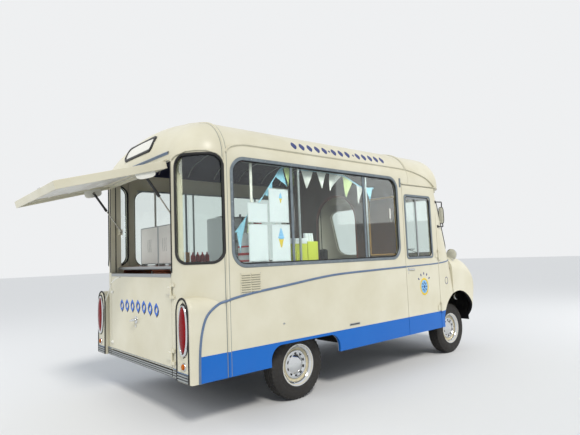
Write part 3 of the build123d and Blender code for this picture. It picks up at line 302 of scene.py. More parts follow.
def make_finishes():
    """All the van's finishes, each named for what it is made of."""
    coach_enamel("cream_enamel")
    coach_enamel("cream_enamel_blue_skirt", skirt=(-9.0, 0.972))
    coach_enamel("cream_enamel_corner", skirt=((REAR + 48) / 1000, 0.0))

    # Floor: vinyl in the shop and cab, black underseal below and inside the wheel boxes
    tree, shader, place = finish("undersealed_floor", "5A5D60", 0.6)
    worn = grain(tree, place, 12.0, 4.0)
    colour = add(tree, "Mix", {0: worn, "A": "5A5D60", "B": "4A4D50"}, data_type="RGBA")
    x, y, z = add(tree, "SeparateXYZ", {"Vector": place}).outputs
    along = add(tree, "Math", {0: x, 1: (REAR + REAR_AXLE) / 1000}, operation="SUBTRACT")
    along, wide = (add(tree, "Math", {0: value}, operation="ABSOLUTE") for value in (along, y))
    boxed = gate(tree, (z, "LESS_THAN", 0.714), (along, "LESS_THAN", 0.434), (wide, "GREATER_THAN", 0.646))
    sealed = add(tree, "Math", {0: boxed, 1: gate(tree, (z, "LESS_THAN", 0.501))}, operation="MAXIMUM")
    feed(tree, shader, {"Base Color": add(tree, "Mix", {0: sealed, "A": colour, "B": "141416"}, data_type="RGBA")})
    dress(tree, shader, grain(tree, place, 180.0, 3.0), bump=(0.2, 0.001))

    # Body glass: clear float glass that lets the lamps' light through to the inside
    tree, shader, place = finish("clear_float_glass", "E9F1EE", 0.02, Transmission_Weight=1.0, IOR=1.45,
                                 Specular_IOR_Level=0.3)
    path = add(tree, "LightPath")
    mix = add(tree, "MixShader", {0: path.outputs["Is Shadow Ray"], 1: shader, 2: add(tree, "BsdfTransparent")})
    feed(tree, tree.nodes["Material Output"], {"Surface": mix})

    # Lens plastics: fluted red and amber mouldings over a bright reflector
    for name, deep, pale in (("red_lens", "4A0006", "96060F"), ("amber_lens", "8A3A06", "C8701A"),
                             ("clear_lens", "B9BEC2", "E6EAEC")):
        tree, shader, place = finish(name, pale, 0.2, Coat_Weight=0.06, Coat_Roughness=0.04, Specular_IOR_Level=0.12)
        flutes = add(tree, "TexWave", {"Vector": place, "Scale": 26.0}, bands_direction="Y").outputs["Fac"]
        dress(tree, shader, flutes, (deep, pale), bump=(0.3, 0.002))

    for name, base, rough, metal, noise, pair, spans, bump in GRAINED:
        tree, shader, place = finish(name, base, rough, metal)
        pattern = grain(tree, place, *noise)
        dress(tree, shader, pattern, pair, spans)
        if bump:
            dress(tree, shader, grain(tree, place, *bump[0]) if bump[0] else pattern, bump=bump[1:])
    for name, first, second, rough, metal in PLAIN:
        tree, shader, place = finish(name, first, rough, metal)
        dress(tree, shader, grain(tree, place, 12.0, 4.0), (first, second), (0.3, 0.7, rough - 0.05, rough + 0.07))
        if metal < 0.5:
            dress(tree, shader, grain(tree, place, 300.0, 2.0), bump=(0.05, 0.0005))

    # Moulding with a blue-grey vinyl insert, faded in patches
    tree, shader, place = finish("blue_grey_moulding", "4A6182", 0.38, Coat_Weight=0.2)
    dress(tree, shader, grain(tree, place, 14.0, 4.0), ("3B5378", "6A7E97"), bump=(0.08, 0.0004))

    # Varnished hardwood board: red-brown with long grain
    tree, shader, place = finish("varnished_hardwood", "6B3220", 0.3, Coat_Weight=0.4)
    dress(tree, shader, grain(tree, place, 9.0, 6.0, (1, 14, 14)), ("4F2012", "8A4A2C"), bump=(0.1, 0.0006))

    # Leathercloth: fine pebble grain of about 1.5 mm, drawn a little coarse to show
    tree, shader, place = finish("black_leathercloth", "1A1A1C", 0.5)
    pebble = add(tree, "TexVoronoi", {"Vector": place, "Scale": 420.0})
    dress(tree, shader, pebble, ("101012", "2C2C30"), bump=(0.35, 0.0012))

    # Printed bunting cotton: plain weave, threads drawn at 2 mm so that they show
    for name, first, second in (("pale_blue_cotton", "8EC6DC", "7DB8D0"), ("pale_green_cotton", "C9DC9A", "B9CE88"),
                                ("white_cotton", "E2E4E0", "D4D7D2")):
        tree, shader, place = finish(name, first, 0.8, Sheen_Weight=0.3)
        weave = add(tree, "TexChecker", {"Vector": place, "Scale": 500.0}).outputs["Fac"]
        dress(tree, shader, weave, (first, second), bump=(0.2, 0.0005))


NODE_FINISHES = {
    "cream_enamel": ("roof", "wings", "bonnet", "grille", "rear_door", "rear_hatch"),
    "cream_enamel_blue_skirt": ("side_right", "side_left", "front_panel", "cab_door_right", "cab_door_left"),
    "cream_enamel_corner": ("rear_corners",),
    "clear_float_glass": ("body_glass", "door_glass_right", "door_glass_left"),
    "red_lens": ("lamps",),
    "chassis_black": ("chassis", "underfloor"),
    "undersealed_floor": ("floor",),
    "cast_iron": ("engine", "front_beam", "rear_axle", "knuckle_right", "knuckle_left"),
    "spring_steel": ("springs",),
    "stained_plywood": ("bulkhead",),
    "varnished_hardwood": ("counters",),
    "stainless_steel": ("machine",),
    "black_leathercloth": ("seats",),
    "grey_enamel": ("dash",),
    "ivory_bakelite": ("steering_wheel",),
    "chromium_plate": ("mirrors",),
    "blue_enamel": ("bumper",),
    "black_enamel": ("stay_tube_right", "stay_tube_left"),
    "bright_steel_rod": ("stay_rod_right", "stay_rod_left"),
    "tyre_rubber": ("tyre_rear_right", "tyre_rear_left", "tyre_front_right", "tyre_front_left"),
    "cream_wheel": ("rim_rear_right", "rim_rear_left", "rim_front_right", "rim_front_left"),
}


def paint_nodes():
    """Gives every carried-over node its finish."""
    for name, nodes in NODE_FINISHES.items():
        for node in nodes:
            NODES[node].data.materials.clear()
            NODES[node].data.materials.append(FINISHES[name])


# Shapes

def piece(bm, name, finish_name, body="body", soft=35.0, bevel=0.0):
    """Makes an object of a mesh whose place is in its vertices, rides it on a body and empties the mesh."""
    bmesh.ops.remove_doubles(bm, verts=bm.verts[:], dist=WELD)
    bmesh.ops.recalc_face_normals(bm, faces=bm.faces[:])
    mesh = bpy.data.meshes.new(name)
    bm.to_mesh(mesh)
    bm.clear()
    mesh.materials.append(FINISHES[finish_name])
    mesh.shade_smooth()
    mesh.set_sharp_from_angle(angle=math.radians(soft))
    made = bpy.data.objects.new(name, mesh)
    bpy.context.scene.collection.objects.link(made)
    if bevel:
        edge = made.modifiers.new("edge", "BEVEL")
        edge.width = bevel / 1000
        edge.segments = 2
        edge.limit_method = "ANGLE"
    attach(made, body)
    return made


def block(bm, x0, x1, y0, y1, z0, z1):
    """Box between two stations, two sides and two heights."""
    middle = at((x0 + x1) / 2, (y0 + y1) / 2, (z0 + z1) / 2)
    size = Matrix.Diagonal((abs(x1 - x0) / 1000, abs(y1 - y0) / 1000, abs(z1 - z0) / 1000, 1))
    return bmesh.ops.create_cube(bm, size=1, matrix=Matrix.Translation(middle) @ size)["verts"]


def turned_to(place, way):
    """Matrix that stands a shape's Z axis along a way at a place."""
    return Matrix.Translation(place) @ Vector(way).to_track_quat("Z", "Y").to_matrix().to_4x4()


def rod(bm, start, end, radius, sides=12, tip=None):
    """Round bar from start to end."""
    way = end - start
    frame_at = turned_to((start + end) / 2, way)
    return bmesh.ops.create_cone(
        bm, cap_ends=True, segments=sides, radius1=radius / 1000,
        radius2=(radius if tip is None else tip) / 1000, depth=way.length, matrix=frame_at)["verts"]


def ball(bm, place, radius, squash=(1, 1, 1), way=(0, 0, 1)):
    """Round or flattened ball."""
    size = Matrix.Diagonal((*squash, 1))
    return bmesh.ops.create_uvsphere(
        bm, u_segments=16, v_segments=10, radius=radius / 1000, matrix=turned_to(place, way) @ size)["verts"]


def screw(bm, place, radius, way):
    """Flattened ball for the head of a screw or rivet."""
    return ball(bm, place, radius, (1, 1, 0.5), way)


def patch(bm, columns, rows):
    """Corners of a flat grid from -1 to 1 each way, for moving onto a shape."""
    return bmesh.ops.create_grid(bm, x_segments=columns, y_segments=rows, size=1)["verts"]


def lathe(bm, centre, way, profile, steps=40):
    """Turns a profile of (radius, height) pairs about an axis."""
    frame_at = turned_to(centre, way)
    chain = [bm.verts.new(frame_at @ Vector((r / 1000, 0, h / 1000))) for r, h in profile]
    edges = [bm.edges.new(pair) for pair in zip(chain, chain[1:])]
    axis = frame_at.to_3x3() @ UP
    bmesh.ops.spin(bm, geom=[*chain, *edges], cent=centre, axis=axis, dvec=(0, 0, 0),
                   angle=math.tau, steps=steps, use_merge=True, use_duplicate=False)


def sweep(bm, path, section, closed=False):
    """Runs a closed section of (across, out) offsets along a path of (place, normal) pairs."""
    rows, columns = len(path), len(section)
    wide = rows if closed else rows - 1
    grid = patch(bm, wide, columns)
    for vert in grid:
        i = round((vert.co.x + 1) / 2 * wide) % rows
        j = round((vert.co.y + 1) / 2 * columns) % columns
        before = path[(i - 1) % rows if closed else max(i - 1, 0)][0]
        after = path[(i + 1) % rows if closed else min(i + 1, rows - 1)][0]
        place, normal = path[i]
        along = (after - before).normalized()
        across = along.cross(normal).normalized()
        out = across.cross(along)
        vert.co = place + (across * section[j][0] + out * section[j][1]) / 1000
    if not closed:
        for ring in (0, rows - 1):
            ends = [v for v in grid if (v.co - path[ring][0]).length < 0.2]
            rim = {e for v in ends for e in v.link_edges if e.is_boundary}
            near = [e for e in rim if all((v.co - path[ring][0]).length < 0.2 for v in e.verts)]
            bmesh.ops.holes_fill(bm, edges=near, sides=0)
    return grid


def strip(bm, way, points, section, closed=False):
    """Sweeps a section along (station, side, height) points that all face one way."""
    return sweep(bm, [(at(*p), way) for p in points], section, closed)


def trim(name, finish_name, path, section, body="body", closed=False):
    """One piece swept along one path."""
    bm = bmesh.new()
    sweep(bm, path, section, closed)
    return piece(bm, name, finish_name, body)


def half_round(width, height, steps=5):
    """D-shaped moulding section, sunk a little into its seat."""
    top = [(width / 2 * math.cos(math.pi * k / steps), height * math.sin(math.pi * k / steps))
           for k in range(steps + 1)]
    return [*top, (-width / 2, -1.5), (width / 2, -1.5)]


def flat_bar(width, height, edge=1.0):
    """Flat section with eased upper edges."""
    half = width / 2
    return [(half, -1.5), (half, height - edge), (half - edge, height), (edge - half, height),
            (-half, height - edge), (-half, -1.5)]


def strap(half, low, high):
    """Plain rectangular section."""
    return [(half, low), (half, high), (-half, high), (-half, low)]


def closer(points, gap=60):
    """Closed list of points with more of them along its straight runs."""
    out = []
    for (a, b), (c, d) in zip(points, [*points[1:], points[0]]):
        count = max(1, math.ceil(math.dist((a, b), (c, d)) / gap))
        out += [(a + (c - a) * k / count, b + (d - b) * k / count) for k in range(count)]
    return out


def corner_point(side, u, z, radius=CORNER_R):
    """Place and outward way on a rear corner's round, u measured across its diagonal."""
    deep = math.sqrt(radius ** 2 - u ** 2)
    way = (Vector((1, side, 0)) * u + Vector((-1, side, 0)) * deep) / math.sqrt(2)
    return at(CORNER_R + way.x, side * (HALF - CORNER_R) + way.y, z), way.normalized()


def on_plane(points, y, side):
    """Path in the plane of one side wall from (station, height) points."""
    return [(at(x, side * y, z), OUT[side]) for x, z in points]


# Tables of places: windows, mouldings and lamps

# Windows: two ends, two heights and the corners' radius. The ends are stations, places across the diagonal
# of a rear corner, or sides for the windscreen
SIDE_WINDOW = (374.0, 2550.0, 1231.0, 2098.0, 120.0)
DOOR_WINDOW = (2697.0, 3185.0, 1223.0, 1921.0, 60.0)
CORNER_WINDOW = (-182.0, 198.0, 1265.0, 2120.0, 90.0)
WINDSCREEN = (-900.0, 900.0, 1270.0, 1950.0, 110.0)
WINDOW_BARS = (
    # station, width, finish, how far in from the skin
    (605, 22, "white_enamel", 60),
    (1016, 26, "weathered_aluminium", 8),
    (1112, 22, "extruded_aluminium", 22),
    (2005, 24, "weathered_aluminium", 8),
    (2058, 20, "extruded_aluminium", 22),
)
# Station and height along the waist moulding and the gutter
WAIST = ((43, 377), (45, 520), (52, 640), (72, 760), (115, 865), (200, 930), (327, 968), (560, 1004),
         (863, 1034), (1466, 1094), (2060, 1112), (2664, 1123), (3216, 1134), (3480, 1152), (3700, 1182))
GUTTER = ((312, 2140), (330, 2168), (380, 2200), (470, 2222), (600, 2231), (1500, 2233), (2300, 2233),
          (2700, 2230), (2860, 2218), (3000, 2193), (3145, 2153), (3262, 2090), (3373, 2003))
WHEELS = (("rear_right", REAR_AXLE, RIGHT), ("rear_left", REAR_AXLE, LEFT),
          ("front_right", FRONT_AXLE, RIGHT), ("front_left", FRONT_AXLE, LEFT))
HUB_Y, HUB_Z = 787.5, 305
SEAT_Y = 520
# Place across a rear corner's diagonal and height
CORNER_DRIP = ((-214, 2098), (-196, 2116), (-165, 2130), (-120, 2137), (-85, 2149), (0, 2152), (85, 2149),
               (125, 2137), (160, 2128), (186, 2106), (202, 2078), (209, 2046))
SEAM_SECTION = [(15, -1.5), (15, 3), (9, 4), (7, 10), (0, 12), (-7, 10), (-9, 4), (-15, 3), (-15, -1.5)]
SEAM_SIDES = (291.0, 319.0)
# Lamp pods: station of the face, then near side, far side and top of the outline
POD_FACE = -25.0
POD_RING = (775.0, 962.0, 1000.0)
LENS_Y = 888.5
TAIL_FLASHER_Z = 497
# Side, rear end, front end, inner face, top and number of doors of each cabinet
CABINETS = ((LEFT, 560, 2300, 480, 1180, 4), (RIGHT, 600, 1640, 560, 1140, 3))
CARTONS = ((612, 800, -905, -690, 1165, 1290), (616, 780, -900, -700, 1291, 1412), (640, 760, -890, -720, 1413, 1500))
HATCH_AXIS = at(-12, 0, 2112)
HATCH_PROPPED = math.radians(74.8)
# Camera solved from straight lines of the body: place, then yaw, pitch and roll, then focal length over picture width
CAMERA_PLACE = (-1718, -4111, 1286)
CAMERA_TURN = (49.12, 4.77, -2.22)
CAMERA_FOCUS = 466.4, 580


class VAN_PG_sizes(bpy.types.PropertyGroup):
    """Sizes and colours that a user would change."""

    gutter_width: FloatProperty(name="Gutter width", description="Width of the drip moulding over the windows",
                                default=0.016, min=0.008, max=0.03, unit="LENGTH")
    waist_width: FloatProperty(name="Waist moulding width", description="Width of the blue-grey waist moulding",
                               default=0.020, min=0.01, max=0.04, unit="LENGTH")
    frame_width: FloatProperty(name="Window frame width", description="Width of the metal frame round the side windows",
                               default=0.028, min=0.02, max=0.06, unit="LENGTH")
    sun_strength: FloatProperty(name="Key light strength", description="Strength of the soft key light",
                                default=2.1, min=0.0, max=10.0)
    backdrop: FloatVectorProperty(name="Backdrop", description="Colour seen behind the van", subtype="COLOR",
                                  size=3, min=0.0, max=1.0, default=(0.86, 0.87, 0.88))


def sizes():
    """The scene's property group."""
    return bpy.context.scene.van_sizes


class VAN_OT_stage(bpy.types.Operator):
    """Lay the pale floor, hang the soft lights and set the camera"""

    bl_idname = "van.stage"
    bl_label = "Stage, lights and camera"

    def execute(self, context):
        """Makes everything that isn't part of the van."""
        scene = context.scene
        bm = bmesh.new()
        bmesh.ops.create_grid(bm, x_segments=1, y_segments=1, size=60)
        mesh = bpy.data.meshes.new("studio_floor")
        bm.to_mesh(mesh)
        bm.free()
        floor = bpy.data.objects.new("studio_floor", mesh)
        scene.collection.objects.link(floor)
        finish("studio_paper", "D9DADA", 0.9)
        mesh.materials.append(FINISHES["studio_paper"])

        world = bpy.data.worlds.new("studio")
        world.use_nodes = True
        scene.world = world
        tree = world.node_tree
        tree.nodes.clear()
        lit = add(tree, "Background", {"Color": (0.80, 0.86, 0.95, 1), "Strength": 0.62})
        seen = add(tree, "Background", {"Color": (*sizes().backdrop, 1), "Strength": 1.0})
        path = add(tree, "LightPath").outputs
        shown = path["Is Camera Ray"]
        for ray in ("Is Transmission Ray", "Is Glossy Ray"):
            shown = add(tree, "Math", {0: shown, 1: path[ray]}, operation="MAXIMUM")
        mix = add(tree, "MixShader", {0: shown, 1: lit, 2: seen})
        add(tree, "OutputWorld", {"Surface": mix})

        for name, kind, place, aim, power, size in (
            ("key", "SUN", (-4, -9, 10), (0, 0, 1), sizes().sun_strength, 0.2),
            ("fill", "AREA", (-8, 3, 5), (-0.5, 0, 1.3), 260, 4.0),
            ("front", "AREA", (7, -5, 4), (1.5, 0, 1.2), 200, 4.0),
        ):
            lamp = bpy.data.lights.new(name, kind)
            lamp.energy = power
            if kind == "SUN":
                lamp.angle = size
                lamp.color = (1.0, 0.96, 0.9)
            else:
                lamp.size = size
            made = bpy.data.objects.new(name, lamp)
            made.visible_glossy = kind == "SUN"
            made.location = place
            made.rotation_euler = (Vector(aim) - Vector(place)).to_track_quat("-Z", "Y").to_euler()
            scene.collection.objects.link(made)

        lens = bpy.data.cameras.new("camera")
        lens.sensor_width = 36.0
        focus, width = CAMERA_FOCUS
        lens.lens = focus * 36 / width
        camera = bpy.data.objects.new("camera", lens)
        yaw, pitch, roll = (math.radians(a) for a in CAMERA_TURN)
        ahead = Vector((math.cos(pitch) * math.cos(yaw), math.cos(pitch) * math.sin(yaw), math.sin(pitch)))
        right = Vector((math.sin(yaw), -math.cos(yaw), 0))
        up = right.cross(ahead)
        tilted = right * math.cos(roll) + up * math.sin(roll)
        upright = up * math.cos(roll) - right * math.sin(roll)
        turn = Matrix((tilted, upright, -ahead)).transposed().to_4x4()
        camera.matrix_world = Matrix.Translation(at(*CAMERA_PLACE)) @ turn
        scene.collection.objects.link(camera)
        scene.camera = camera
        scene.view_settings.view_transform = "Standard"
        return {"FINISHED"}


class VAN_OT_finishes(bpy.types.Operator):
    """Mix the finishes and paint the carried-over nodes"""

    bl_idname = "van.finishes"
    bl_label = "Finishes"

    def execute(self, context):
        """Makes the materials and assigns them."""
        make_finishes()
        paint_nodes()
        return {"FINISHED"}


class VAN_OT_windows(bpy.types.Operator):
    """Frame the windows, with their bars, rubbers, screws and catches"""

    bl_idname = "van.windows"
    bl_label = "Windows"

    def execute(self, context):
        """Makes every window's trim."""
        bm = bmesh.new()
        wide = sizes().frame_width * 1000
        for side, word in SIDES:
            x0, x1, z0, z1, r = SIDE_WINDOW
            band = rounded(x0 - 8, x1 + 8, z0 - 8, z1 + 8, r + 8, 10)
            trim("side_frame_" + word, "weathered_aluminium", on_plane(band, HALF, side), flat_bar(wide, 6, 2.5),
                 closed=True)
            lip = rounded(x0 + 11, x1 - 11, z0 + 11, z1 - 11, r - 11, 10)
            trim("side_rubber_" + word, "moulded_rubber", on_plane(lip, HALF - 9, side), half_round(10, 9),
                 closed=True)
            for a, b in zip(band, [*band[1:], band[0]]):
                count = max(1, round(math.dist(a, b) / 150))
                if math.dist(a, b) > 100:
                    for k in range(count):
                        x = a[0] + (b[0] - a[0]) * (k + 0.5) / count
                        z = a[1] + (b[1] - a[1]) * (k + 0.5) / count
                        ball(bm, at(x, side * (HALF + 5.5), z), 4.5, (1, 1, 0.45), OUT[side])
            piece(bm, "side_screws_" + word, "extruded_aluminium", soft=60)
            for station, width, coat, deep in WINDOW_BARS:
                y0, y1 = side * (HALF - deep), side * (HALF - deep - 12)
                block(bm, station - width / 2, station + width / 2, y0, y1, z0 + 2, z1 - 2)
                piece(bm, "bar_%d_%s" % (station, word), coat, bevel=1.5)
            block(bm, 2425, 2441, side * (HALF - 24), side * (HALF - 8), 1655, 1765)
            piece(bm, "pull_" + word, "white_enamel", bevel=4)
            for low in (z0 + 3, z1 - 15):
                block(bm, x0 + 30, x1 - 30, side * (HALF - 40), side * (HALF - 24), low, low + 12)
            piece(bm, "window_rails_" + word, "extruded_aluminium", bevel=1)

            door = "cab_door_" + word
            x0, x1, z0, z1, r = DOOR_WINDOW
            band = rounded(x0 - 6, x1 + 6, z0 - 6, z1 + 6, r * 0.45, 6)
            trim("door_frame_" + word, "weathered_aluminium", on_plane(band, HALF, side), flat_bar(24, 6, 2), door,
                 closed=True)
            lip = rounded(x0 + 8, x1 - 8, z0 + 8, z1 - 8, r - 8, 6)
            trim("door_rubber_" + word, "moulded_rubber", on_plane(lip, HALF - 9, side), half_round(10, 9), door,
                 closed=True)
            middle = x0 + 210
            block(bm, middle - 10, middle + 10, side * (HALF - 2), side * (HALF - 12), z0 + 4, z1 - 4)
            block(bm, x0 + 6, x1 - 6, side * (HALF - 6), side * (HALF - 14), z1 - 34, z1 - 4)
            piece(bm, "door_bars_" + word, "extruded_aluminium", door, bevel=1.5)

        u0, u1, z0, z1, r = CORNER_WINDOW
        for side, word in SIDES:
            path = [corner_point(side, u, z) for u, z in
                    closer(rounded(u0 - 3, u1 + 3, z0 - 3, z1 + 3, r + 3, 8))]
            trim("corner_rubber_" + word, "moulded_rubber", path, half_round(22, 11), closed=True)
            path = [corner_point(side, u, z, CORNER_R - 26) for u, z in
                    closer(rounded(u0 - 3, u1 - 9, z0 - 3, z1 + 3, r, 8))]
            trim("corner_inner_rubber_" + word, "moulded_rubber", [(place, -out) for place, out in path],
                 half_round(20, 9), closed=True)
            tree = skin("rear_corners", "roof")
            arch = [corner_point(side, u, z) for u, z in CORNER_DRIP]
            trim("corner_drip_" + word, "cream_enamel", [onto(tree, place + out * 0.05, -out) for place, out in arch],
                 [(8, -1.5), (8, 7), (5, 12), (0, 13), (-4, 7), (-8, 4), (-8, -1.5)])
            block(bm, 2606, 2630, side * 999, side * 1006, 2012, 2112)
            for z in (2030, 2094):
                screw(bm, at(2618, side * 1006, z), 4, OUT[side])
            piece(bm, "catch_plate_" + word, "weathered_aluminium", bevel=2)

        y0, y1, z0, z1, r = WINDSCREEN
        tree = skin("front_panel")
        path = [onto(tree, at(4400, y, z), AFT) for y, z in
                closer(rounded(y0 - 12, y1 + 12, z0 - 12, z1 + 12, r + 10, 8))]
        trim("windscreen_rubber", "moulded_rubber", path, half_round(34, 15), closed=True)
        return {"FINISHED"}


class VAN_OT_mouldings(bpy.types.Operator):
    """Fit the waist moulding, gutters, seam strips and pod outlines"""

    bl_idname = "van.mouldings"
    bl_label = "Mouldings and gutters"

    def execute(self, context):
        """Sweeps each moulding along its panel."""
        bm = bmesh.new()
        thick = sizes().waist_width * 1000
        gutter = sizes().gutter_width * 1000
        for side, word in SIDES:
            body = skin("side_" + word, "rear_corners", "front_panel", "roof", "cab_door_" + word)
            line = [(p.x, p.y) for p in smooth_line(WAIST, 5)]
            for part, low, high, rides in (("rear", 0, 2645, "body"), ("door", 2657, 3296, "cab_door_" + word),
                                           ("front", 3311, 3800, "body")):
                run = [p for p in line if low < p[0] < high and not 286 < p[0] < 324]
                stops = {"rear": (*SEAM_SIDES, high), "door": (low, high), "front": (low,)}[part]
                run = sorted([*run, *((s, height_on(line, s)) for s in stops)])
                path = [(place + normal * (0.0085 if s in SEAM_SIDES else 0), normal)
                        for (place, normal), (s, _) in zip(side_path(body, side, run), run)]
                size = thick if part == "rear" else thick * 0.75
                trim("waist_%s_%s" % (part, word), "blue_grey_moulding", path, half_round(size, size * 0.45), rides)

            line = [(p.x, p.y) for p in smooth_line(GUTTER, 5)]
            line = [p for p in line if not (300 < p[0] < 310 or 2774 < p[0] < 2786 or 2226.5 < p[1] < 2229.5)]
            trim("gutter_" + word, "cream_enamel", side_path(body, side, line),
                 [(gutter / 2, -1.5), (gutter / 2, 9), (gutter * 0.3, 15), (0, 16), (-gutter * 0.2, 9),
                  (-gutter / 2, 5), (-gutter / 2, -1.5)])
            line = [(2640, 2056), (2700, 2056), (2850, 2056), (3000, 2056), (3150, 2056), (3300, 2055), (3380, 2054)]
            trim("door_gutter_" + word, "cream_enamel", side_path(body, side, line), half_round(14, 12))

            y0, y1, top = POD_RING
            reach = (y1 - y0) / 2
            arch = [(y0, SKIRT + 3), (y0, 480), (y0, 600), (y0, 750)]
            arch += [((y0 + y1) / 2 - reach * math.cos(math.pi * k / 12),
                      top - 120 + 120 * math.sin(math.pi * k / 12)) for k in range(13)]
            arch += [(y1, 750), (y1, 600), (y1, 480), (y1, SKIRT + 3)]
            trim("pod_outline_" + word, "moulded_rubber", [(at(POD_FACE, side * y, z), AFT) for y, z in arch],
                 half_round(15, 7))

        for name, station, nodes, start in (("rear", 305, ("rear_corners", "roof"), 380),
                                            ("front", 2780, ("roof",), 2235)):
            shift = -9 if name == "rear" else 9
            tree = skin(*nodes)
            centre_z = 2110
            path = []
            for side in (RIGHT, LEFT):
                heights = [start + (centre_z - start) * k / 10 for k in range(11)] if start < centre_z else [start]
                half_path = [onto(tree, at(station + shift, side * 1300, z), OUT[-side])
                             for z in heights if not 2138 < z < 2146]
                centre = at(station + shift, side * 660, centre_z)
                for angle in range(4 if start < centre_z else 24, 90, 6):
                    way = Vector((0, side * math.cos(math.radians(angle)), math.sin(math.radians(angle))))
                    half_path.append(onto(tree, centre + way * 0.6, -way))
                half_path += [onto(tree, at(station + shift, side * y, 2700), DOWN) for y in (660, 440, 220)]
                path += half_path if side == RIGHT else half_path[::-1]
            moved = Vector((-shift / 1000, 0, 0))
            path = [(place + moved, normal) for place, normal in path]
            # The grey bar under each seam strip is wider than the strip, so it shows as painted shade along both of the
            # strip's edges.
            for word, section, coat in (("painted_edge_shade", flat_bar(41, 2.4), "grey_enamel"),
                                        ("strip", SEAM_SECTION, "cream_enamel_blue_skirt")):
                sweep(bm, path, section)
                for vert in bm.verts:
                    # Eased down where it would stand over the roof's crown
                    vert.co.z = min(vert.co.z, CAD_BOX[1][2] - 0.0001)
                piece(bm, "seam_%s_%s" % (word, name), coat)
        return {"FINISHED"}


def domed(bm, outline, centre, across, up, profile):
    """Domed plate: rings of an outline scaled and raised by (scale, height) pairs."""
    out = across.cross(up)
    columns, rows = len(outline), len(profile) - 1
    for vert in patch(bm, columns, rows):
        i = round((vert.co.x + 1) / 2 * columns) % columns
        scale, height = profile[round((vert.co.y + 1) / 2 * rows)]
        u, v = outline[i]
        vert.co = centre + (across * u * scale + up * v * scale + out * height) / 1000


def oval(half_wide, half_high, power=1.0, steps=48):
    """Oval outline; a power under 1 squares it."""
    ring = []
    for k in range(steps):
        c, s = math.cos(math.tau * k / steps), math.sin(math.tau * k / steps)
        ring.append((half_wide * math.copysign(abs(c) ** power, c), half_high * math.copysign(abs(s) ** power, s)))
    return ring


def bezel(bm, outline, centre, across, up, section):
    """Rim swept round an outline that lies square to its out direction."""
    out = across.cross(up)
    path = [(centre + (across * u + up * v) / 1000, out) for u, v in outline]
    sweep(bm, path, section, closed=True)


class VAN_OT_lamps(bpy.types.Operator):
    """Make the tail lamps, headlamps, flashers and side markers"""

    bl_idname = "van.lamps"
    bl_label = "Lamps"

    def execute(self, context):
        """Makes the lamps of both ends."""
        bm = bmesh.new()
        across = OUT[RIGHT]
        for side, word in SIDES:
            middle, flasher = at(POD_FACE, side * LENS_Y, 766), at(POD_FACE, side * LENS_Y, TAIL_FLASHER_Z)
            domed(bm, oval(56, 176, 0.92), middle, across, UP,
                  [(1.0, 0), (0.985, 6), (0.93, 12), (0.8, 17), (0.6, 20), (0.3, 22), (0.0, 22.5)])
            domed(bm, oval(24, 24), at(POD_FACE - 3, side * LENS_Y, TAIL_FLASHER_Z), across, UP,
                  [(1.0, 0), (0.97, 6), (0.85, 12), (0.6, 16), (0.3, 18), (0, 18.5)])
            lens = piece(bm, "tail_lens_" + word, "red_lens")
            lens.data.materials.append(FINISHES["amber_lens"])
            # The lower dome is the flasher
            for face in lens.data.polygons:
                if face.center.z < 0.55:
                    face.material_index = 1
            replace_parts(lens, "lamps")
            bezel(bm, oval(62, 182, 0.92), middle, across, UP, half_round(16, 15))
            bezel(bm, oval(26, 26), flasher, across, UP, half_round(11, 10))
            low = [p for p in oval(64, 186, 0.92, 96) if p[1] < -120]
            sweep(bm, [(middle + (across * u + UP * v) / 1000, AFT) for u, v in low], half_round(22, 17))
            piece(bm, "tail_bezel_" + word, "chromium_plate")
            bezel(bm, oval(75, 196, 0.94), middle, across, UP, half_round(9, 7))
            for z in (562, 970):
                screw(bm, at(POD_FACE - 4, side * LENS_Y, z), 4, AFT)
            piece(bm, "tail_gasket_" + word, "moulded_rubber")

            lamp, flasher = at(4250, side * 700, 830), at(4250, side * 700, 655)
            lathe(bm, lamp, FORE, [(95, -60), (97, -4), (101, 4), (100, 13), (94, 19), (85, 20), (82, 15)], 48)
            lathe(bm, flasher, FORE, [(38, -40), (40, -2), (41, 5), (37, 10), (33, 9)], 32)
            piece(bm, "headlamp_rim_" + word, "chromium_plate")
            lathe(bm, lamp, FORE, [(83, 12), (80, 16), (60, 20), (34, 22), (0, 22.5)], 40)
            piece(bm, "headlamp_lens_" + word, "clear_lens")
            lathe(bm, flasher, FORE, [(34, 6), (33, 14), (26, 19), (14, 21), (0, 21.5)], 32)
            piece(bm, "front_flasher_" + word, "amber_lens")
            lathe(bm, lamp, FORE, [(98, -20), (99, -58), (92, -66), (40, -72), (30, -92), (0, -94)], 40)
            lathe(bm, flasher, FORE, [(41, -12), (42, -40), (36, -46), (12, -50), (9, -62), (0, -63)], 28)
            piece(bm, "lamp_boots_" + word, "moulded_rubber")

            domed(bm, oval(13, 30, 0.7, 28), at(2669, side * HALF, 2064), FORE * side, UP,
                  [(1.0, 0), (0.96, 8), (0.8, 13), (0.4, 15), (0, 15.5)])
            piece(bm, "side_marker_" + word, "black_enamel")
        return {"FINISHED"}


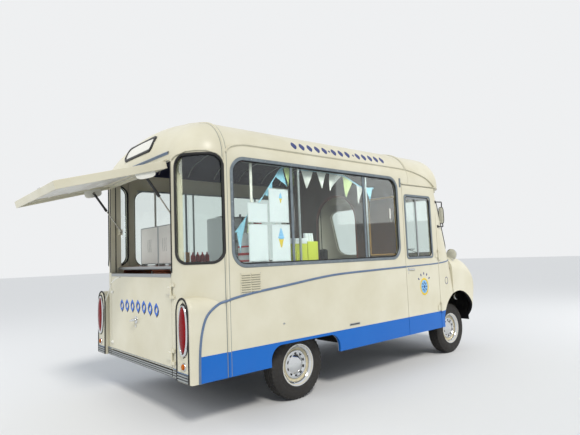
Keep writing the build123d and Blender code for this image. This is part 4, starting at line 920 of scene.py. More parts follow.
class VAN_OT_wheels(bpy.types.Operator):
    """Mould the tyres and fit the chrome hubcaps and rim trims"""

    bl_idname = "van.wheels"
    bl_label = "Wheels"

    def execute(self, context):
        """Dresses all four wheels."""
        bm = bmesh.new()
        half = 82.5
        wall = [(183, half - 12), (190, half - 4), (200, half - 1), (204, half - 3.5), (208, half - 0.5),
                (226, half), (229, half - 2), (232, half - 0.2), (250, half - 0.6), (254, half - 3),
                (258, half - 1.2), (272, half - 5), (286, half - 13), (294, half - 19)]
        tread = []
        for left, right in ((-58, -44), (-35, -21), (-12, 12), (21, 35), (44, 58)):
            tread += [(304.6 - abs(edge) * 0.06, edge) for edge in (left, right)]
            if right < 58:
                tread += [(297, right + 1), (297, right + 8)]
        profile = [*wall, *reversed(tread), *[(r, -h) for r, h in reversed(wall)]]
        for name, station, side in WHEELS:
            hub = at(station, side * HUB_Y, HUB_Z)
            way = OUT[side]
            body = "wheel_" + name
            lathe(bm, hub, way, profile, 144)
            bmesh.ops.remove_doubles(bm, verts=bm.verts[:], dist=WELD)
            for vert in bm.verts:
                arm = vert.co - hub
                deep = abs(arm.y) * 1000
                flat = Vector((arm.x, 0, arm.z))
                turn = round((math.atan2(arm.z, arm.x) / math.tau + 1) * 144)
                if 43 < deep < 70 and turn % 3 == 0 and flat.length > 0.286:
                    vert.co -= flat.normalized() * 0.006
                elif 11 < deep < 36 and turn % 4 == (0 if arm.y > 0 else 2) and flat.length > 0.3:
                    vert.co -= flat.normalized() * 0.004
            tyre = piece(bm, "moulded_tyre_" + name, "tyre_rubber", body, soft=28)
            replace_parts(tyre, "tyre_" + name)

            lathe(bm, hub, way, [(126, 24), (128, 30), (126, 37), (120, 41), (112, 41), (108, 36), (88, 33), (80, 38),
                                 (64, 50), (50, 57), (34, 60), (30, 62), (16, 63), (0, 63.5)], 64)
            lathe(bm, hub, way, [(150, 44), (152, 51), (160, 58), (172, 66), (181, 72), (186, 72), (187, 68),
                                 (183, 64)], 64)
            piece(bm, "hubcap_" + name, "chromium_plate", body)
            # Black ovals in the hubcap's slots are painted shade, for the dark openings.
            for k in range(10):
                turn = Matrix.Rotation(math.tau * (k + 0.5) / 10, 3, "Y")
                along = turn @ UP
                domed(bm, oval(8, 15, 0.8, 20), hub + way * 0.0352 + turn @ Vector((0.098, 0, 0)), along.cross(way),
                      along, [(1.0, 0), (0.9, 1.2), (0, 1.4)])
            piece(bm, "hubcap_slot_shade_" + name, "black_enamel", body)
            rod(bm, hub + way * 0.060 + Vector((0, 0, 0.168)), hub + way * 0.084 + Vector((0, 0, 0.172)), 4, 10, 3)
            for k in range(16):
                turn = Matrix.Rotation(math.tau * k / 16, 3, "Y")
                screw(bm, hub + way * 0.037 + turn @ Vector((0.142, 0, 0)), 4.5, way)
            piece(bm, "rim_rivets_" + name, "stainless_steel", body)
        return {"FINISHED"}


class VAN_OT_rear(bpy.types.Operator):
    """Dress the rear door, the sill strip and the number plate box"""

    bl_idname = "van.rear"
    bl_label = "Rear door and sill"

    def ribs(self, bm, groove_shade, x, y0, y1, z0, z1):
        """Ribbed strip on a rear face, over a black plate that paints the shade in its grooves."""
        block(groove_shade, x - 2, x + 0.5, y0, y1, z0, z1)
        for k in range(3):
            z = z0 + (z1 - z0) * (k + 0.5) / 3
            strip(bm, AFT, [(x - 2, y, z) for y in (y0 + 1, (y0 + y1) / 2, y1 - 1)],
                  half_round((z1 - z0) / 3 * 0.7, 4))

    def execute(self, context):
        """Makes the pieces on the van's lower rear."""
        bm = bmesh.new()
        groove_shade = bmesh.new()
        self.ribs(bm, groove_shade, 0, -651, 651, 382, 433)
        for side in (RIGHT, LEFT):
            for x, near, far, high in ((0, 660, 756, 436), (POD_FACE, 784, 952, 440)):
                self.ribs(bm, groove_shade, x, *sorted((side * near, side * far)), 380, high)
        piece(bm, "sill_strip", "extruded_aluminium")
        # The black plate behind the ribs is painted shade in the grooves between them.
        piece(groove_shade, "sill_groove_shade", "moulded_rubber", bevel=0.5)
        for side in (RIGHT, LEFT):
            for x, y0, y1 in ((0, 660, 757), (POD_FACE, 784, 952)):
                strip(bm, AFT, [(x, side * y, 446) for y in (y0, (y0 + y1) / 2, y1)], half_round(9, 5))
        piece(bm, "sill_rail", "blue_grey_moulding")

        strip(bm, AFT, [(0, y, 450) for y in (-645, -300, 0, 300, 645)], half_round(10, 5))
        block(bm, -3, 33, -649, 649, 1172, 1183)
        block(bm, -3, 0.5, -649, 649, 1156, 1183)
        piece(bm, "rear_door_edges", "extruded_aluminium", "rear_door", bevel=1)
        for z in (540, 1050):
            block(bm, -5, 0.5, -648, -592, z - 32, z + 32)
        for z in (512, 1000):
            block(bm, -6, 0.5, 600, 645, z - 14, z + 14)
            rod(bm, at(-9, 606, z), at(-9, 648, z), 6)
        piece(bm, "rear_door_ironwork", "white_enamel", "rear_door", bevel=1.5)
        for z in (540, 1050):
            for y in (-604, -636):
                for lift in (-20, 20):
                    screw(bm, at(-5, y, z + lift), 4.2, AFT)
        lathe(bm, at(0, 50, 770), AFT, [(34, -1), (34, 3), (29, 7), (15, 10), (12, 28), (0, 28)], 32)
        for reach in (-1, 1):
            end = at(-31, 50 + reach * 58, 770 - reach * 11)
            rod(bm, at(-30, 50, 770), end, 11, 16, 7)
            ball(bm, end, 7.5)
        ball(bm, at(-30, 50, 770), 13)
        screw(bm, at(-3, 50, 715), 12, AFT)
        piece(bm, "rear_door_handle", "chromium_plate", "rear_door")

        face, shade = bmesh.new(), bmesh.new()
        facet = [(math.cos(math.tau * i / 8) * 44, math.sin(math.tau * i / 8) * (58 if i % 2 == 0 else 44))
                 for i in range(8)]
        for k in range(7):
            y, lift = -372 + 126 * k, 884 + 10 * math.cos(math.pi * (k - 3) / 6)
            for layer, shift, out in ((shade, 9, 0.6), (face, 0, 1.4)):
                domed(layer, facet, at(-0.1, y - shift, lift - shift), OUT[RIGHT], UP,
                      [(1.0, 0.0), (0.98, out), (0.55, out), (0.53, 0.05)])
        piece(face, "door_ornament", "blue_enamel", "rear_door")
        piece(shade, "door_ornament_shade", "black_enamel", "rear_door")

        swoop = smooth_line(((-26, 800, 830), (-2, 745, 1008), (-1, 700, 1052), (-1, 655, 1085), (-1, 600, 1112),
                             (-1, 520, 1138), (-1, 430, 1148)), 6)
        tree = skin("rear_corners")
        run = [onto(tree, at(-200, p.y, p.z), FORE) for p in swoop if p.y > 664 and not 745 < p.y < 775]
        trim("swoop_bead_corner", "white_enamel", run, half_round(13, 6))
        run = [(at(0, p.y, p.z), AFT) for p in swoop if p.y < 642]
        trim("swoop_bead_door", "white_enamel", run, half_round(13, 6), "rear_door")

        tree = skin("roof")
        path = [onto(tree, at(-200, y, z), FORE) for y, z in rounded(-290, 290, 2262, 2388, 38, 6)]
        trim("plate_box_frame", "black_enamel", path, half_round(32, 15), closed=True)
        for vert in patch(bm, 24, 8):
            place, normal = onto(tree, at(-200, vert.co.x * 280, 2325 + vert.co.y * 53), FORE)
            vert.co = place + normal * 0.004
        piece(bm, "plate_box_glass", "white_laminate")
        for y in (-302, 302):
            place, normal = onto(tree, at(-200, y, 2325), FORE)
            ball(bm, place, 7, (1, 1, 0.6), normal)
        piece(bm, "plate_box_screws", "extruded_aluminium")
        return {"FINISHED"}


class VAN_OT_hatch(bpy.types.Operator):
    """Line the serving hatch and fit its rails, seals and stay plates"""

    bl_idname = "van.hatch"
    bl_label = "Serving hatch"

    def hang(self, bm, name, coat, ease=0.0):
        """Swings a piece made shut to where the hatch is propped."""
        swing = (Matrix.Translation(HATCH_AXIS) @ Matrix.Rotation(HATCH_PROPPED, 4, "Y")
                 @ Matrix.Translation(-HATCH_AXIS))
        bmesh.ops.transform(bm, matrix=swing, verts=bm.verts[:])
        piece(bm, name, coat, "rear_hatch", bevel=ease)

    def execute(self, context):
        """Makes the hatch's own pieces, then the seals and screws of its opening."""
        bm = bmesh.new()
        block(bm, 22, 25, -566, 566, 1300, 2020)
        for z in (1480, 1660, 1840):
            strip(bm, FORE, [(25, y, z) for y in (-560, 0, 560)], half_round(16, 5))
        self.hang(bm, "hatch_lining", "white_laminate", 1.0)
        for y in (-595, 595):
            block(bm, 22, 34, y - 27, y + 27, 1262, 2062)
        for z in (1276, 2044):
            block(bm, 22, 34, -568, 568, z - 25, z + 25)
        self.hang(bm, "hatch_inner_frame", "white_enamel", 2.0)
        for y in (-595, 595):
            for k in range(6):
                screw(bm, at(34, y, 1300 + 148 * k), 4.5, FORE)
        for y in (-400, -130, 130, 400):
            for z in (1276, 2044):
                screw(bm, at(34, y, z), 4.5, FORE)
        self.hang(bm, "hatch_screws", "extruded_aluminium")
        strip(bm, AFT, [(0.5, y, z) for y, z in rounded(-630, 630, 1235, 2085, 22, 4)], half_round(12, 5), closed=True)
        self.hang(bm, "hatch_outer_bead", "cream_enamel")
        lathe(bm, at(0, 0, 1290), AFT, [(20, -1), (20, 3), (16, 5), (9, 7), (8, 20), (0, 21)], 24)
        rod(bm, at(-24, -38, 1290), at(-24, 38, 1290), 6.5)
        for y in (-38, 38):
            ball(bm, at(-24, y, 1290), 7)
        self.hang(bm, "hatch_handle", "chromium_plate")
        for side in (RIGHT, LEFT):
            domed(bm, oval(44, 84, 0.62, 40), at(63, side * 620.5, 1908), FORE, UP,
                  [(0, -4), (0.97, -4), (1, -3), (1, 3), (0.97, 4), (0, 4)])
            for z in (1850, 1966):
                screw(bm, at(70, side * 616.5, z), 5, OUT[side])
        self.hang(bm, "hatch_stay_plates", "white_enamel", 1)

        jamb = (1192, 1400, 1700, 1900, 2092)
        for side in (RIGHT, LEFT):
            strip(bm, AFT, [(-0.5, side * 668, z) for z in jamb], half_round(14, 7))
            strip(bm, OUT[-side], [(46, side * 655, z) for z in jamb], half_round(10, 5))
        piece(bm, "opening_seals", "moulded_rubber")
        tree = skin("roof", "rear_corners")
        run = [onto(tree, at(-300, y, 2168), FORE) for y in range(-640, 641, 80)]
        sweep(bm, run, [(12, -1.5), (12, 5), (8, 13), (3, 14), (0, 9), (-12, 3), (-12, -1.5)])
        piece(bm, "hatch_drip_rail", "blue_grey_moulding")
        for side in (RIGHT, LEFT):
            for z in (1250, 1410, 1760, 1920, 2050):
                screw(bm, at(101, side * 642, z), 4.5, FORE)
        piece(bm, "jamb_screws", "extruded_aluminium")
        return {"FINISHED"}


def decal(bm, tree, outline, station, height, side, rings=((1.0, -0.3), (0.97, 0.9), (0.5, 0.9), (0.0, 0.9))):
    """Painted shape laid on a side skin: an outline of (forward, up) offsets in millimetres."""
    columns, rows = len(outline), len(rings) - 1
    for vert in patch(bm, columns, rows):
        u, v = outline[round((vert.co.x + 1) / 2 * columns) % columns]
        scale, lift = rings[round((vert.co.y + 1) / 2 * rows)]
        place, normal = onto(tree, at(station + u * scale, side * 1300, height + v * scale), OUT[-side])
        vert.co = place + normal * lift / 1000


def lozenge(wide, high, power=1.35, steps=24):
    """Pointed oval outline for the painted ornaments."""
    return oval(wide / 2, high / 2, power, steps)


def turned(outline, angle):
    """Outline turned about its middle."""
    c, s = math.cos(angle), math.sin(angle)
    return [(u * c - v * s, u * s + v * c) for u, v in outline]


class VAN_OT_ornaments(bpy.types.Operator):
    """Paint the plain ornaments, and fit the louvre, catches and door furniture"""

    bl_idname = "van.ornaments"
    bl_label = "Ornaments and side fittings"

    def execute(self, context):
        """Makes the fittings of both sides."""
        bm = bmesh.new()
        for side, word in SIDES:
            roof = skin("roof")
            for first, count in ((1110, 5), (1640, 3), (2000, 5)):
                for k in range(count):
                    decal(bm, roof, lozenge(66, 78), first + 100 * k, 2306, side)
            for station in (1576, 1930):
                decal(bm, roof, lozenge(26, 26, 1.0, 16), station, 2306, side)
            piece(bm, "roof_ornament_" + word, "navy_enamel")

            door = skin("cab_door_" + word)
            decal(bm, door, oval(84, 100, 1.0, 40), 2983, 881, side,
                  ((1.0, -0.3), (0.98, 1.0), (0.78, 1.0), (0.76, 0.2)))
            piece(bm, "badge_ring_" + word, "yellow_enamel", "cab_door_" + word)
            decal(bm, door, oval(64, 76, 1.0, 32), 2983, 881, side)
            piece(bm, "badge_field_" + word, "pale_blue_enamel", "cab_door_" + word)
            high = ((1.0, 0.6), (0.95, 1.5), (0.5, 1.5), (0.0, 1.5))
            for k in range(8):
                turn = math.tau * k / 8
                decal(bm, door, turned(lozenge(14, 34, 1.2, 16), turn), 2983 - 40 * math.sin(turn),
                      881 + 44 * math.cos(turn), side, high)
            decal(bm, door, oval(15, 17, 1.0, 20), 2983, 881, side, high)
            for k in range(5):
                turn = math.radians(-52 + 26 * k)
                decal(bm, door, turned(lozenge(20, 34, 1.3, 16), -turn), 2983 + 132 * math.sin(turn),
                      881 + 150 * math.cos(turn), side)
            piece(bm, "badge_flower_" + word, "navy_enamel", "cab_door_" + word)

            panel = skin("side_" + word, "front_panel")
            decal(bm, panel, oval(33, 46, 1.0, 32), 3457, 921, side,
                  ((1.0, -0.3), (0.97, 1.2), (0.84, 1.2), (0.8, -0.3)))
            piece(bm, "bare_roundel_" + word, "navy_enamel")

            y0, y1 = side * (HALF - 0.5), side * (HALF + 2.5)
            block(bm, 424, 632, y0, y1, 1003, 1170)
            rows = range(1020, 1154, 19)
            for first, last in ((434, 524), (532, 622)):
                for z in rows:
                    strip(bm, OUT[side], [(x, side * (HALF + 2.5), z) for x in (first, (first + last) / 2, last)],
                          [(7, -1), (6, 3), (3, 6), (-2, 7.5), (-3, 7), (-3, -1)])
            piece(bm, "louvre_" + word, "cream_enamel", bevel=1)
            # Black strips in the louvre's slots are painted shade, for the dark openings behind the slats.
            for first, last in ((436, 522), (534, 620)):
                for z in rows:
                    block(bm, first, last, side * (HALF + 2), side * (HALF + 3.1), z - 9.5, z - 4.5)
            piece(bm, "louvre_slot_shade_" + word, "black_enamel")
            for x in (430, 528, 626):
                for z in (1010, 1086, 1163):
                    screw(bm, at(x, side * (HALF + 2.5), z), 3.5, OUT[side])
            block(bm, 1686, 1836, y0, side * (HALF + 2), 594, 616)
            for x, z, radius in ((861, 718, 9), (873, 717, 5)):
                ball(bm, at(x, side * (HALF + 0.5), z), radius, (1, 1, 0.4), OUT[side])
            piece(bm, "side_fixings_" + word, "extruded_aluminium", bevel=0.8)
            # Black strip in the vent plate's slot is painted shade, for the dark opening.
            block(bm, 1694, 1828, side * (HALF + 1.8), side * (HALF + 2.4), 601, 609)
            piece(bm, "vent_slot_shade_" + word, "black_enamel")

            grip = at(2694, side * HALF, 1092)
            lathe(bm, grip, OUT[side], [(19, -1), (19, 2), (16, 4), (9, 6), (8, 14), (0, 14)], 24)
            run = [(grip + Vector((x / 1000, side * y / 1000, z / 1000)), OUT[side])
                   for x, y, z in ((-6, 10, 0), (20, 14, 0), (60, 14, -1), (96, 13, -3), (112, 9, -6))]
            sweep(bm, run, [(8, -2), (7, 2), (0, 4), (-7, 2), (-8, -2), (0, -4)])
            screw(bm, at(2694, side * (HALF + 0.5), 1050), 8, OUT[side])
            piece(bm, "door_handle_" + word, "chromium_plate", "cab_door_" + word)

            path = on_plane([(2660, 385), (2660, 800), (2660, 2034), (3294, 2034), (3294, 385)], HALF - 34.5, side)
            sweep(bm, [(place, -out) for place, out in path], half_round(12, 8))
            piece(bm, "door_seal_" + word, "moulded_rubber", "cab_door_" + word)
        return {"FINISHED"}


class VAN_OT_goods(bpy.types.Operator):
    """Hang the blank cards and boards, and stand the boxes and cones inside"""

    bl_idname = "van.goods"
    bl_label = "Cards, boards and stock"

    def execute(self, context):
        """Makes what shows through the glass."""
        bm = bmesh.new()
        cards = ((534, 749, 1579, 1750), (761, 985, 1583, 1882), (537, 744, 1254, 1568), (780, 991, 1245, 1570))
        for x0, x1, z0, z1 in cards:
            block(bm, x0, x1, -974, -971.5, z0, z1)
        piece(bm, "price_cards", "white_card", bevel=0.8)
        for x0, x1, z0, z1 in cards:
            strip(bm, OUT[RIGHT], [(x, -974, z) for x, z in rounded(x0 + 5, x1 - 5, z0 + 5, z1 - 5, 6, 2)],
                  strap(1.6, -0.4, 0.5), closed=True)
        piece(bm, "card_borders", "extruded_aluminium")
        cone, ice = bmesh.new(), bmesh.new()
        for x, z, size in ((886, 1445, 1.0), (893, 1800, 0.55)):
            path = [(-30 * size, 0), (30 * size, 0), (6 * size, -78 * size), (-6 * size, -78 * size)]
            domed(cone, path, at(x, -974.2, z), FORE, UP, [(1, 0), (0.97, 0.6), (0, 0.7)])
            for lift, wide in ((10, 36), (34, 28), (56, 18), (74, 9)):
                domed(ice, oval(wide * size, 18 * size, 1, 20), at(x, -974.4, z + lift * size), FORE, UP,
                      [(1, 0), (0.95, 0.6), (0, 0.8)])
        piece(cone, "card_cones", "yellow_enamel")
        piece(ice, "card_ices", "pale_blue_enamel")

        boards = ((-163, 104), (114, 506))
        for y0, y1 in boards:
            block(bm, 250, 258, y0, y1, 1262, 1626)
        piece(bm, "counter_boards", "white_laminate", bevel=1.5)
        for y0, y1 in boards:
            strip(bm, AFT, [(250, y, z) for y, z in rounded(y0 + 4, y1 - 4, 1266, 1622, 8, 3)], half_round(9, 4),
                  closed=True)
            for y in (y0 + 30, y1 - 30):
                block(bm, 236, 300, y - 8, y + 8, 1245, 1262)
        piece(bm, "board_frames", "extruded_aluminium", bevel=1)
        for y in (-30, 300):
            for k in range(3):
                strip(bm, AFT, [(249.6, y + 34 * k - 34 + 10 * math.sin(t / 3), 1380 + 14 * t) for t in range(0, 10)],
                      strap(2, -0.4, 0.5))
        piece(bm, "board_flourish", "grey_enamel")

        for carton in CARTONS:
            block(bm, *carton)
        piece(bm, "cone_cartons", "white_card", bevel=3)
        for x0, x1, y0, y1, z0, z1 in CARTONS[:2]:
            for low, high in ((0.16, 0.34), (0.72, 0.84)):
                block(bm, x0 - 0.8, x1 + 0.8, y0 - 0.8, y1 + 0.8, z0 + (z1 - z0) * low, z0 + (z1 - z0) * high)
        for x, y, r in ((650, -870, 22), (700, -878, 26), (742, -860, 20)):
            for k in range(5):
                ball(bm, at(x + 8 * math.sin(k * 2.1), y + 6 * math.cos(k * 1.7), 1520 + 30 * k), r, (1, 1, 0.8))
        piece(bm, "carton_bands", "red_card")
        block(bm, 1085, 1255, -905, -760, 1165, 1450)
        block(bm, 1270, 1400, -900, -770, 1165, 1420)
        piece(bm, "wafer_cartons", "yellow_green_card", bevel=3)
        block(bm, 1084, 1256, -906, -759, 1400, 1450.5)
        for x in (1300, 1335, 1370):
            rod(bm, at(x, -835, 1421), at(x, -835, 1500), 26, 20, 20)
        piece(bm, "carton_lids", "white_card", bevel=2)

        for k in range(4):
            lathe(bm, at(900 + 62 * k, 620, 1204), UP, [(0, 0), (26, 0), (28, 4), (28, 120), (22, 140), (9, 150),
                                                        (8, 172), (0, 172)], 24)
        piece(bm, "sauce_bottles", "red_card")
        for k in range(3):
            for row in range(6):
                lathe(bm, at(700 + 74 * k, 650, 1204 + 22 * row), UP, [(14, 0), (16, 2), (24, 52), (27, 54), (27, 62),
                                                                       (25, 62), (22, 54)], 20)
        piece(bm, "stacked_cones", "wafer")
        return {"FINISHED"}


class VAN_OT_bunting(bpy.types.Operator):
    """Cut and hang the bunting along the side window"""

    bl_idname = "van.bunting"
    bl_label = "Bunting"

    def execute(self, context):
        """Makes the tape and its pennants as one sewn sheet."""
        bm = bmesh.new()
        tape = ((430, 1500), (560, 1650), (740, 1835), (860, 1985), (975, 2098), (1180, 2097), (1540, 2100),
                (1735, 2086), (1905, 2030), (2080, 1985), (2230, 1990))
        flags = (
            # along the line from, to, tip station, tip height, cloth
            (450, 545, 480, 1330, 0), (560, 640, 556, 1500, 1), (742, 838, 838, 1800, 0), (878, 962, 998, 1915, 0),
            (972, 1060, 1015, 1925, 1), (1182, 1343, 1260, 1919, 2), (1384, 1521, 1441, 1929, 2),
            (1567, 1734, 1561, 1912, 2), (1742, 1889, 1792, 1865, 1), (1956, 2062, 1990, 1810, 2),
            (2090, 2210, 2150, 1840, 0))
        line = [(p.x, p.y) for p in smooth_line(tape, 6)]

        def sway(station, z):
            """Soft waves of hung cloth, in millimetres across."""
            return 7 * math.sin(station / 61) + 5 * math.sin(z / 43 + station / 90)

        columns = len(line) - 1
        for vert in patch(bm, columns, 1):
            x, z = line[round((vert.co.x + 1) / 2 * columns)]
            vert.co = at(x, -938 + sway(x, z), z + (0 if vert.co.y > 0 else -16))
        area = sum(math.dist(a, b) * 16 for a, b in zip(line, line[1:])) * 0.93
        for start, end, tip_x, tip_z, cloth in flags:
            a, b = (start, height_on(line, start) - 8), (end, height_on(line, end) - 8)
            made = patch(bm, 8, 10)
            for vert in made:
                across, down = (vert.co.x + 1) / 2, (1 - vert.co.y) / 2
                top_x, top_z = a[0] + (b[0] - a[0]) * across, a[1] + (b[1] - a[1]) * across
                x = top_x + (tip_x - top_x) * down
                z = top_z + (tip_z - top_z) * down
                vert.co = at(x, -936.5 + sway(x, z) + 8 * down * math.sin(across * 5 + start), z)
            for face in {f for v in made for f in v.link_faces}:
                face.material_index = cloth
            area += abs((b[0] - a[0]) * (tip_z - a[1]) - (tip_x - a[0]) * (b[1] - a[1])) / 2
        bunting = piece(bm, "bunting", "pale_blue_cotton")
        for cloth in ("pale_green_cotton", "white_cotton"):
            bunting.data.materials.append(FINISHES[cloth])
        for x, z in ((430, 1500), (975, 2098), (1540, 2100), (2230, 1990)):
            rod(bm, at(x, -968, z - 4), at(x, -936, z - 4), 2.2, 8)
            ball(bm, at(x, -935, z - 4), 4)
        piece(bm, "bunting_hooks", "bright_steel_rod")
        return {"FINISHED"}


class VAN_OT_linings(bpy.types.Operator):
    """Line the shop: headlining, wall panels, floor mat and shelves"""

    bl_idname = "van.linings"
    bl_label = "Shop linings"

    def execute(self, context):
        """Makes the inside trim of the shop."""
        bm = bmesh.new()
        tree = skin("roof")
        for vert in patch(bm, 34, 24):
            station = 322 + (2588 - 322) * (vert.co.x + 1) / 2
            turn = math.radians(66) * vert.co.y
            place, normal = onto(tree, at(station, 0, 1850), Vector((0, math.sin(turn), math.cos(turn))))
            vert.co = place + normal * 0.004
        bmesh.ops.solidify(bm, geom=bm.faces[:], thickness=0.002)
        piece(bm, "headlining", "navy_vinyl")
        for station in (640, 1010, 1380, 1750, 2120, 2440):
            path = []
            for k in range(-13, 14):
                turn = math.radians(64 * k / 13)
                place, normal = onto(tree, at(station, 0, 1850), Vector((0, math.sin(turn), math.cos(turn))))
                path.append((place + normal * 0.006, normal))
            sweep(bm, path, half_round(18, 5))
        piece(bm, "headlining_battens", "extruded_aluminium")

        for side in (RIGHT, LEFT):
            for first, last in ((345, 900), (904, 1460), (1464, 2020), (2024, 2590)):
                block(bm, first, last, side * 962, side * 967.5, 727, 1212)
        piece(bm, "wall_panels", "white_laminate", bevel=1)
        for side in (RIGHT, LEFT):
            for station in (902, 1462, 2022):
                strip(bm, OUT[-side], [(station, side * 962, z) for z in (728, 960, 1211)], half_round(16, 4))
            strip(bm, OUT[-side], [(station, side * 960, 1216) for station in (346, 1400, 2590)], half_round(22, 6))
        piece(bm, "wall_beads", "extruded_aluminium")
        block(bm, 430, 2590, -500, 430, 525, 529)
        for k in range(22):
            strip(bm, UP, [(440 + 2140 * t, -480 + 890 * k / 21, 529) for t in (0, 0.5, 1)], half_round(12, 3))
        piece(bm, "ribbed_floor_mat", "grey_floor_vinyl", bevel=1)

        for side, rear, front, inner, top, count in CABINETS:
            for k in range(count):
                x0 = rear + (front - rear) * k / count + 14
                x1 = rear + (front - rear) * (k + 1) / count - 14
                block(bm, x0, x1, side * (inner - 9), side * (inner + 1), 745, top - 16)
        piece(bm, "cabinet_doors", "white_laminate", bevel=2)
        for side, rear, front, inner, top, count in CABINETS:
            for k in range(count):
                x = rear + (front - rear) * (k + 0.5) / count
                y, grip, z = side * (inner - 9), side * (inner - 9) - side * 22, top - 60
                rod(bm, at(x - 48, grip, z), at(x + 48, grip, z), 5)
                for shift in (-44, 44):
                    rod(bm, at(x + shift, y, z), at(x + shift, grip, z), 4)
        piece(bm, "cabinet_handles", "chromium_plate")
        strip(bm, AFT, [(72, y, 1230) for y in (-645, -200, 200, 645)], half_round(28, 4))
        for side, rear, front, inner, top, _ in CABINETS:
            strip(bm, OUT[-side], [(x, side * (inner - 15), top + 12)
                                   for x in (rear - 15, (rear + front) / 2, front + 15)], half_round(24, 4))
        piece(bm, "counter_edges", "extruded_aluminium")

        arch = [(-330, 525), (-330, 1200), (-330, 1700),
                *[(-330 * math.cos(math.pi * k / 16), 1700 + 330 * math.sin(math.pi * k / 16)) for k in range(1, 16)],
                (330, 1700), (330, 1200), (330, 525)]
        for name, x, way in (("shop", 2600, AFT), ("cab", 2622, FORE)):
            trim("archway_bead_" + name, "varnished_hardwood", [(at(x, y * 1.03, z), way) for y, z in arch],
                 half_round(26, 6))
        pane = [(at(2600, y, z), AFT) for y, z in rounded(-930, -555, 1262, 1915, 20, 4)]
        trim("bulkhead_panel_bead", "oiled_beech", pane, half_round(24, 8), closed=True)
        return {"FINISHED"}


class VAN_OT_machine(bpy.types.Operator):
    """Fit out the soft-serve machine"""

    bl_idname = "van.machine"
    bl_label = "Soft-serve machine"

    def execute(self, context):
        """Makes the machine's lids, levers, nozzles and vents."""
        bm = bmesh.new()
        for x in (1375, 1625):
            lathe(bm, at(x, 710, 1784), UP,
                  [(98, 0), (98, 8), (92, 14), (40, 24), (16, 26), (12, 34), (18, 44), (14, 52), (0, 54)], 40)
        for x in (1440, 1560):
            lathe(bm, at(x, 470, 1500), DOWN, [(22, -1), (22, 10), (17, 16), (15, 34), (11, 38), (11, 30), (0, 30)], 24)
            strip(bm, FORE, [(x, 430, 1628), (x, 418, 1640), (x, 404, 1672), (x, 398, 1716)], strap(6, -4, 4))
        piece(bm, "machine_lids_and_levers", "chromium_plate")
        for x in (1440, 1560):
            lathe(bm, at(x, 398, 1708), (0, -0.17, 1), [(0, 0), (11, 2), (14, 12), (14, 34), (10, 44), (0, 47)], 20)
        for x in (1290, 1330, 1370):
            lathe(bm, at(x, 520, 1716), OUT[RIGHT], [(13, -1), (13, 6), (10, 10), (0, 11)], 20)
        for row in range(7):
            block(bm, 1300, 1700, 518.6, 520.4, 1250 + 16 * row, 1257 + 16 * row)
        for x in (1275, 1725):
            for y in (548, 872):
                lathe(bm, at(x, y, 1204), UP, [(20, -1), (20, 3), (16, 10), (0, 10)], 20)
        piece(bm, "machine_controls", "black_enamel")
        for x0, x1, z0, z1 in ((1262, 1738, 1222, 1378), (1262, 1378, 1400, 1768), (1384, 1616, 1664, 1768),
                               (1622, 1738, 1400, 1768)):
            strip(bm, OUT[RIGHT], [(x, 520, z) for x, z in rounded(x0, x1, z0, z1, 14, 3)], strap(2.5, -0.6, 1.2),
                  closed=True)
        for k in range(13):
            rod(bm, at(1376 + 19 * k, 404, 1283), at(1376 + 19 * k, 516, 1283), 3, 8)
        for y in (410, 512):
            rod(bm, at(1372, y, 1282), at(1628, y, 1282), 3.5, 8)
        piece(bm, "machine_trim", "sheet_galvanised")
        return {"FINISHED"}


def stuffed(name, low, high, ease, channels, upright=False):
    """Foam cushion: an eased block remeshed, swelled as cloth and then grooved along its sewn channels."""
    bm = bmesh.new()
    inset = 5
    block(bm, low[0] + inset, high[0] - inset, low[1] + inset, high[1] - inset, low[2] + inset, high[2] - inset)
    bmesh.ops.bevel(bm, geom=bm.edges[:], offset=ease / 1000, segments=4, profile=0.5, affect="EDGES", material=-1)
    mesh = bpy.data.meshes.new(name)
    bm.to_mesh(mesh)
    bm.free()
    made = bpy.data.objects.new(name, mesh)
    scene = bpy.context.scene
    scene.collection.objects.link(made)
    grid = made.modifiers.new("grid", "REMESH")
    grid.mode = "VOXEL"
    grid.voxel_size = 0.006
    settle(made)
    start = [v.co.copy() for v in made.data.vertices]
    swell = made.modifiers.new("swell", "CLOTH")
    swell.settings.quality = 4
    swell.settings.mass = 0.4
    swell.settings.use_pressure = True
    swell.settings.uniform_pressure_force = 4.0
    swell.settings.effector_weights.gravity = 0.0
    swell.point_cache.frame_start = 1
    swell.point_cache.frame_end = 20
    for step in range(1, 21):
        scene.frame_set(step)
    settle(made)
    scene.frame_set(1)
    cap = 0.010
    for vert, first in zip(made.data.vertices, start):
        move = vert.co - first
        if move.length > cap:
            vert.co = first + move.normalized() * cap
    smooth = made.modifiers.new("smooth", "SUBSURF")
    smooth.levels = smooth.render_levels = 1
    settle(made)
    wide = (high[1] - low[1]) / 1000
    middle = (low[1] + high[1]) / 2000
    for vert in made.data.vertices:
        place = (vert.co.y - middle) / wide + 0.5
        near = min(abs(place - k / channels) for k in range(1, channels)) * wide
        dip = 0.006 * math.exp(-(near / 0.005) ** 2)
        if upright and vert.co.x > (REAR + (low[0] + high[0]) / 2) / 1000:
            vert.co.x -= dip
        elif not upright and vert.co.z > (low[2] + high[2]) / 2000:
            vert.co.z -= dip
        vert.co.x = min(max(vert.co.x, (REAR + low[0] - 3) / 1000), (REAR + high[0] + 3) / 1000)
        vert.co.y = min(max(vert.co.y, (low[1] - 3) / 1000), (high[1] + 3) / 1000)
        vert.co.z = max(vert.co.z, (low[2] + 0.5) / 1000)
    made.data.materials.append(FINISHES["black_leathercloth"])
    made.data.shade_smooth()
    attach(made, "body")
    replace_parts(made, "seats")
    return made


def settle(made):
    """Applies an object's modifiers to its mesh."""
    depsgraph = bpy.context.evaluated_depsgraph_get()
    done = bpy.data.meshes.new_from_object(made.evaluated_get(depsgraph))
    made.modifiers.clear()
    made.data = done


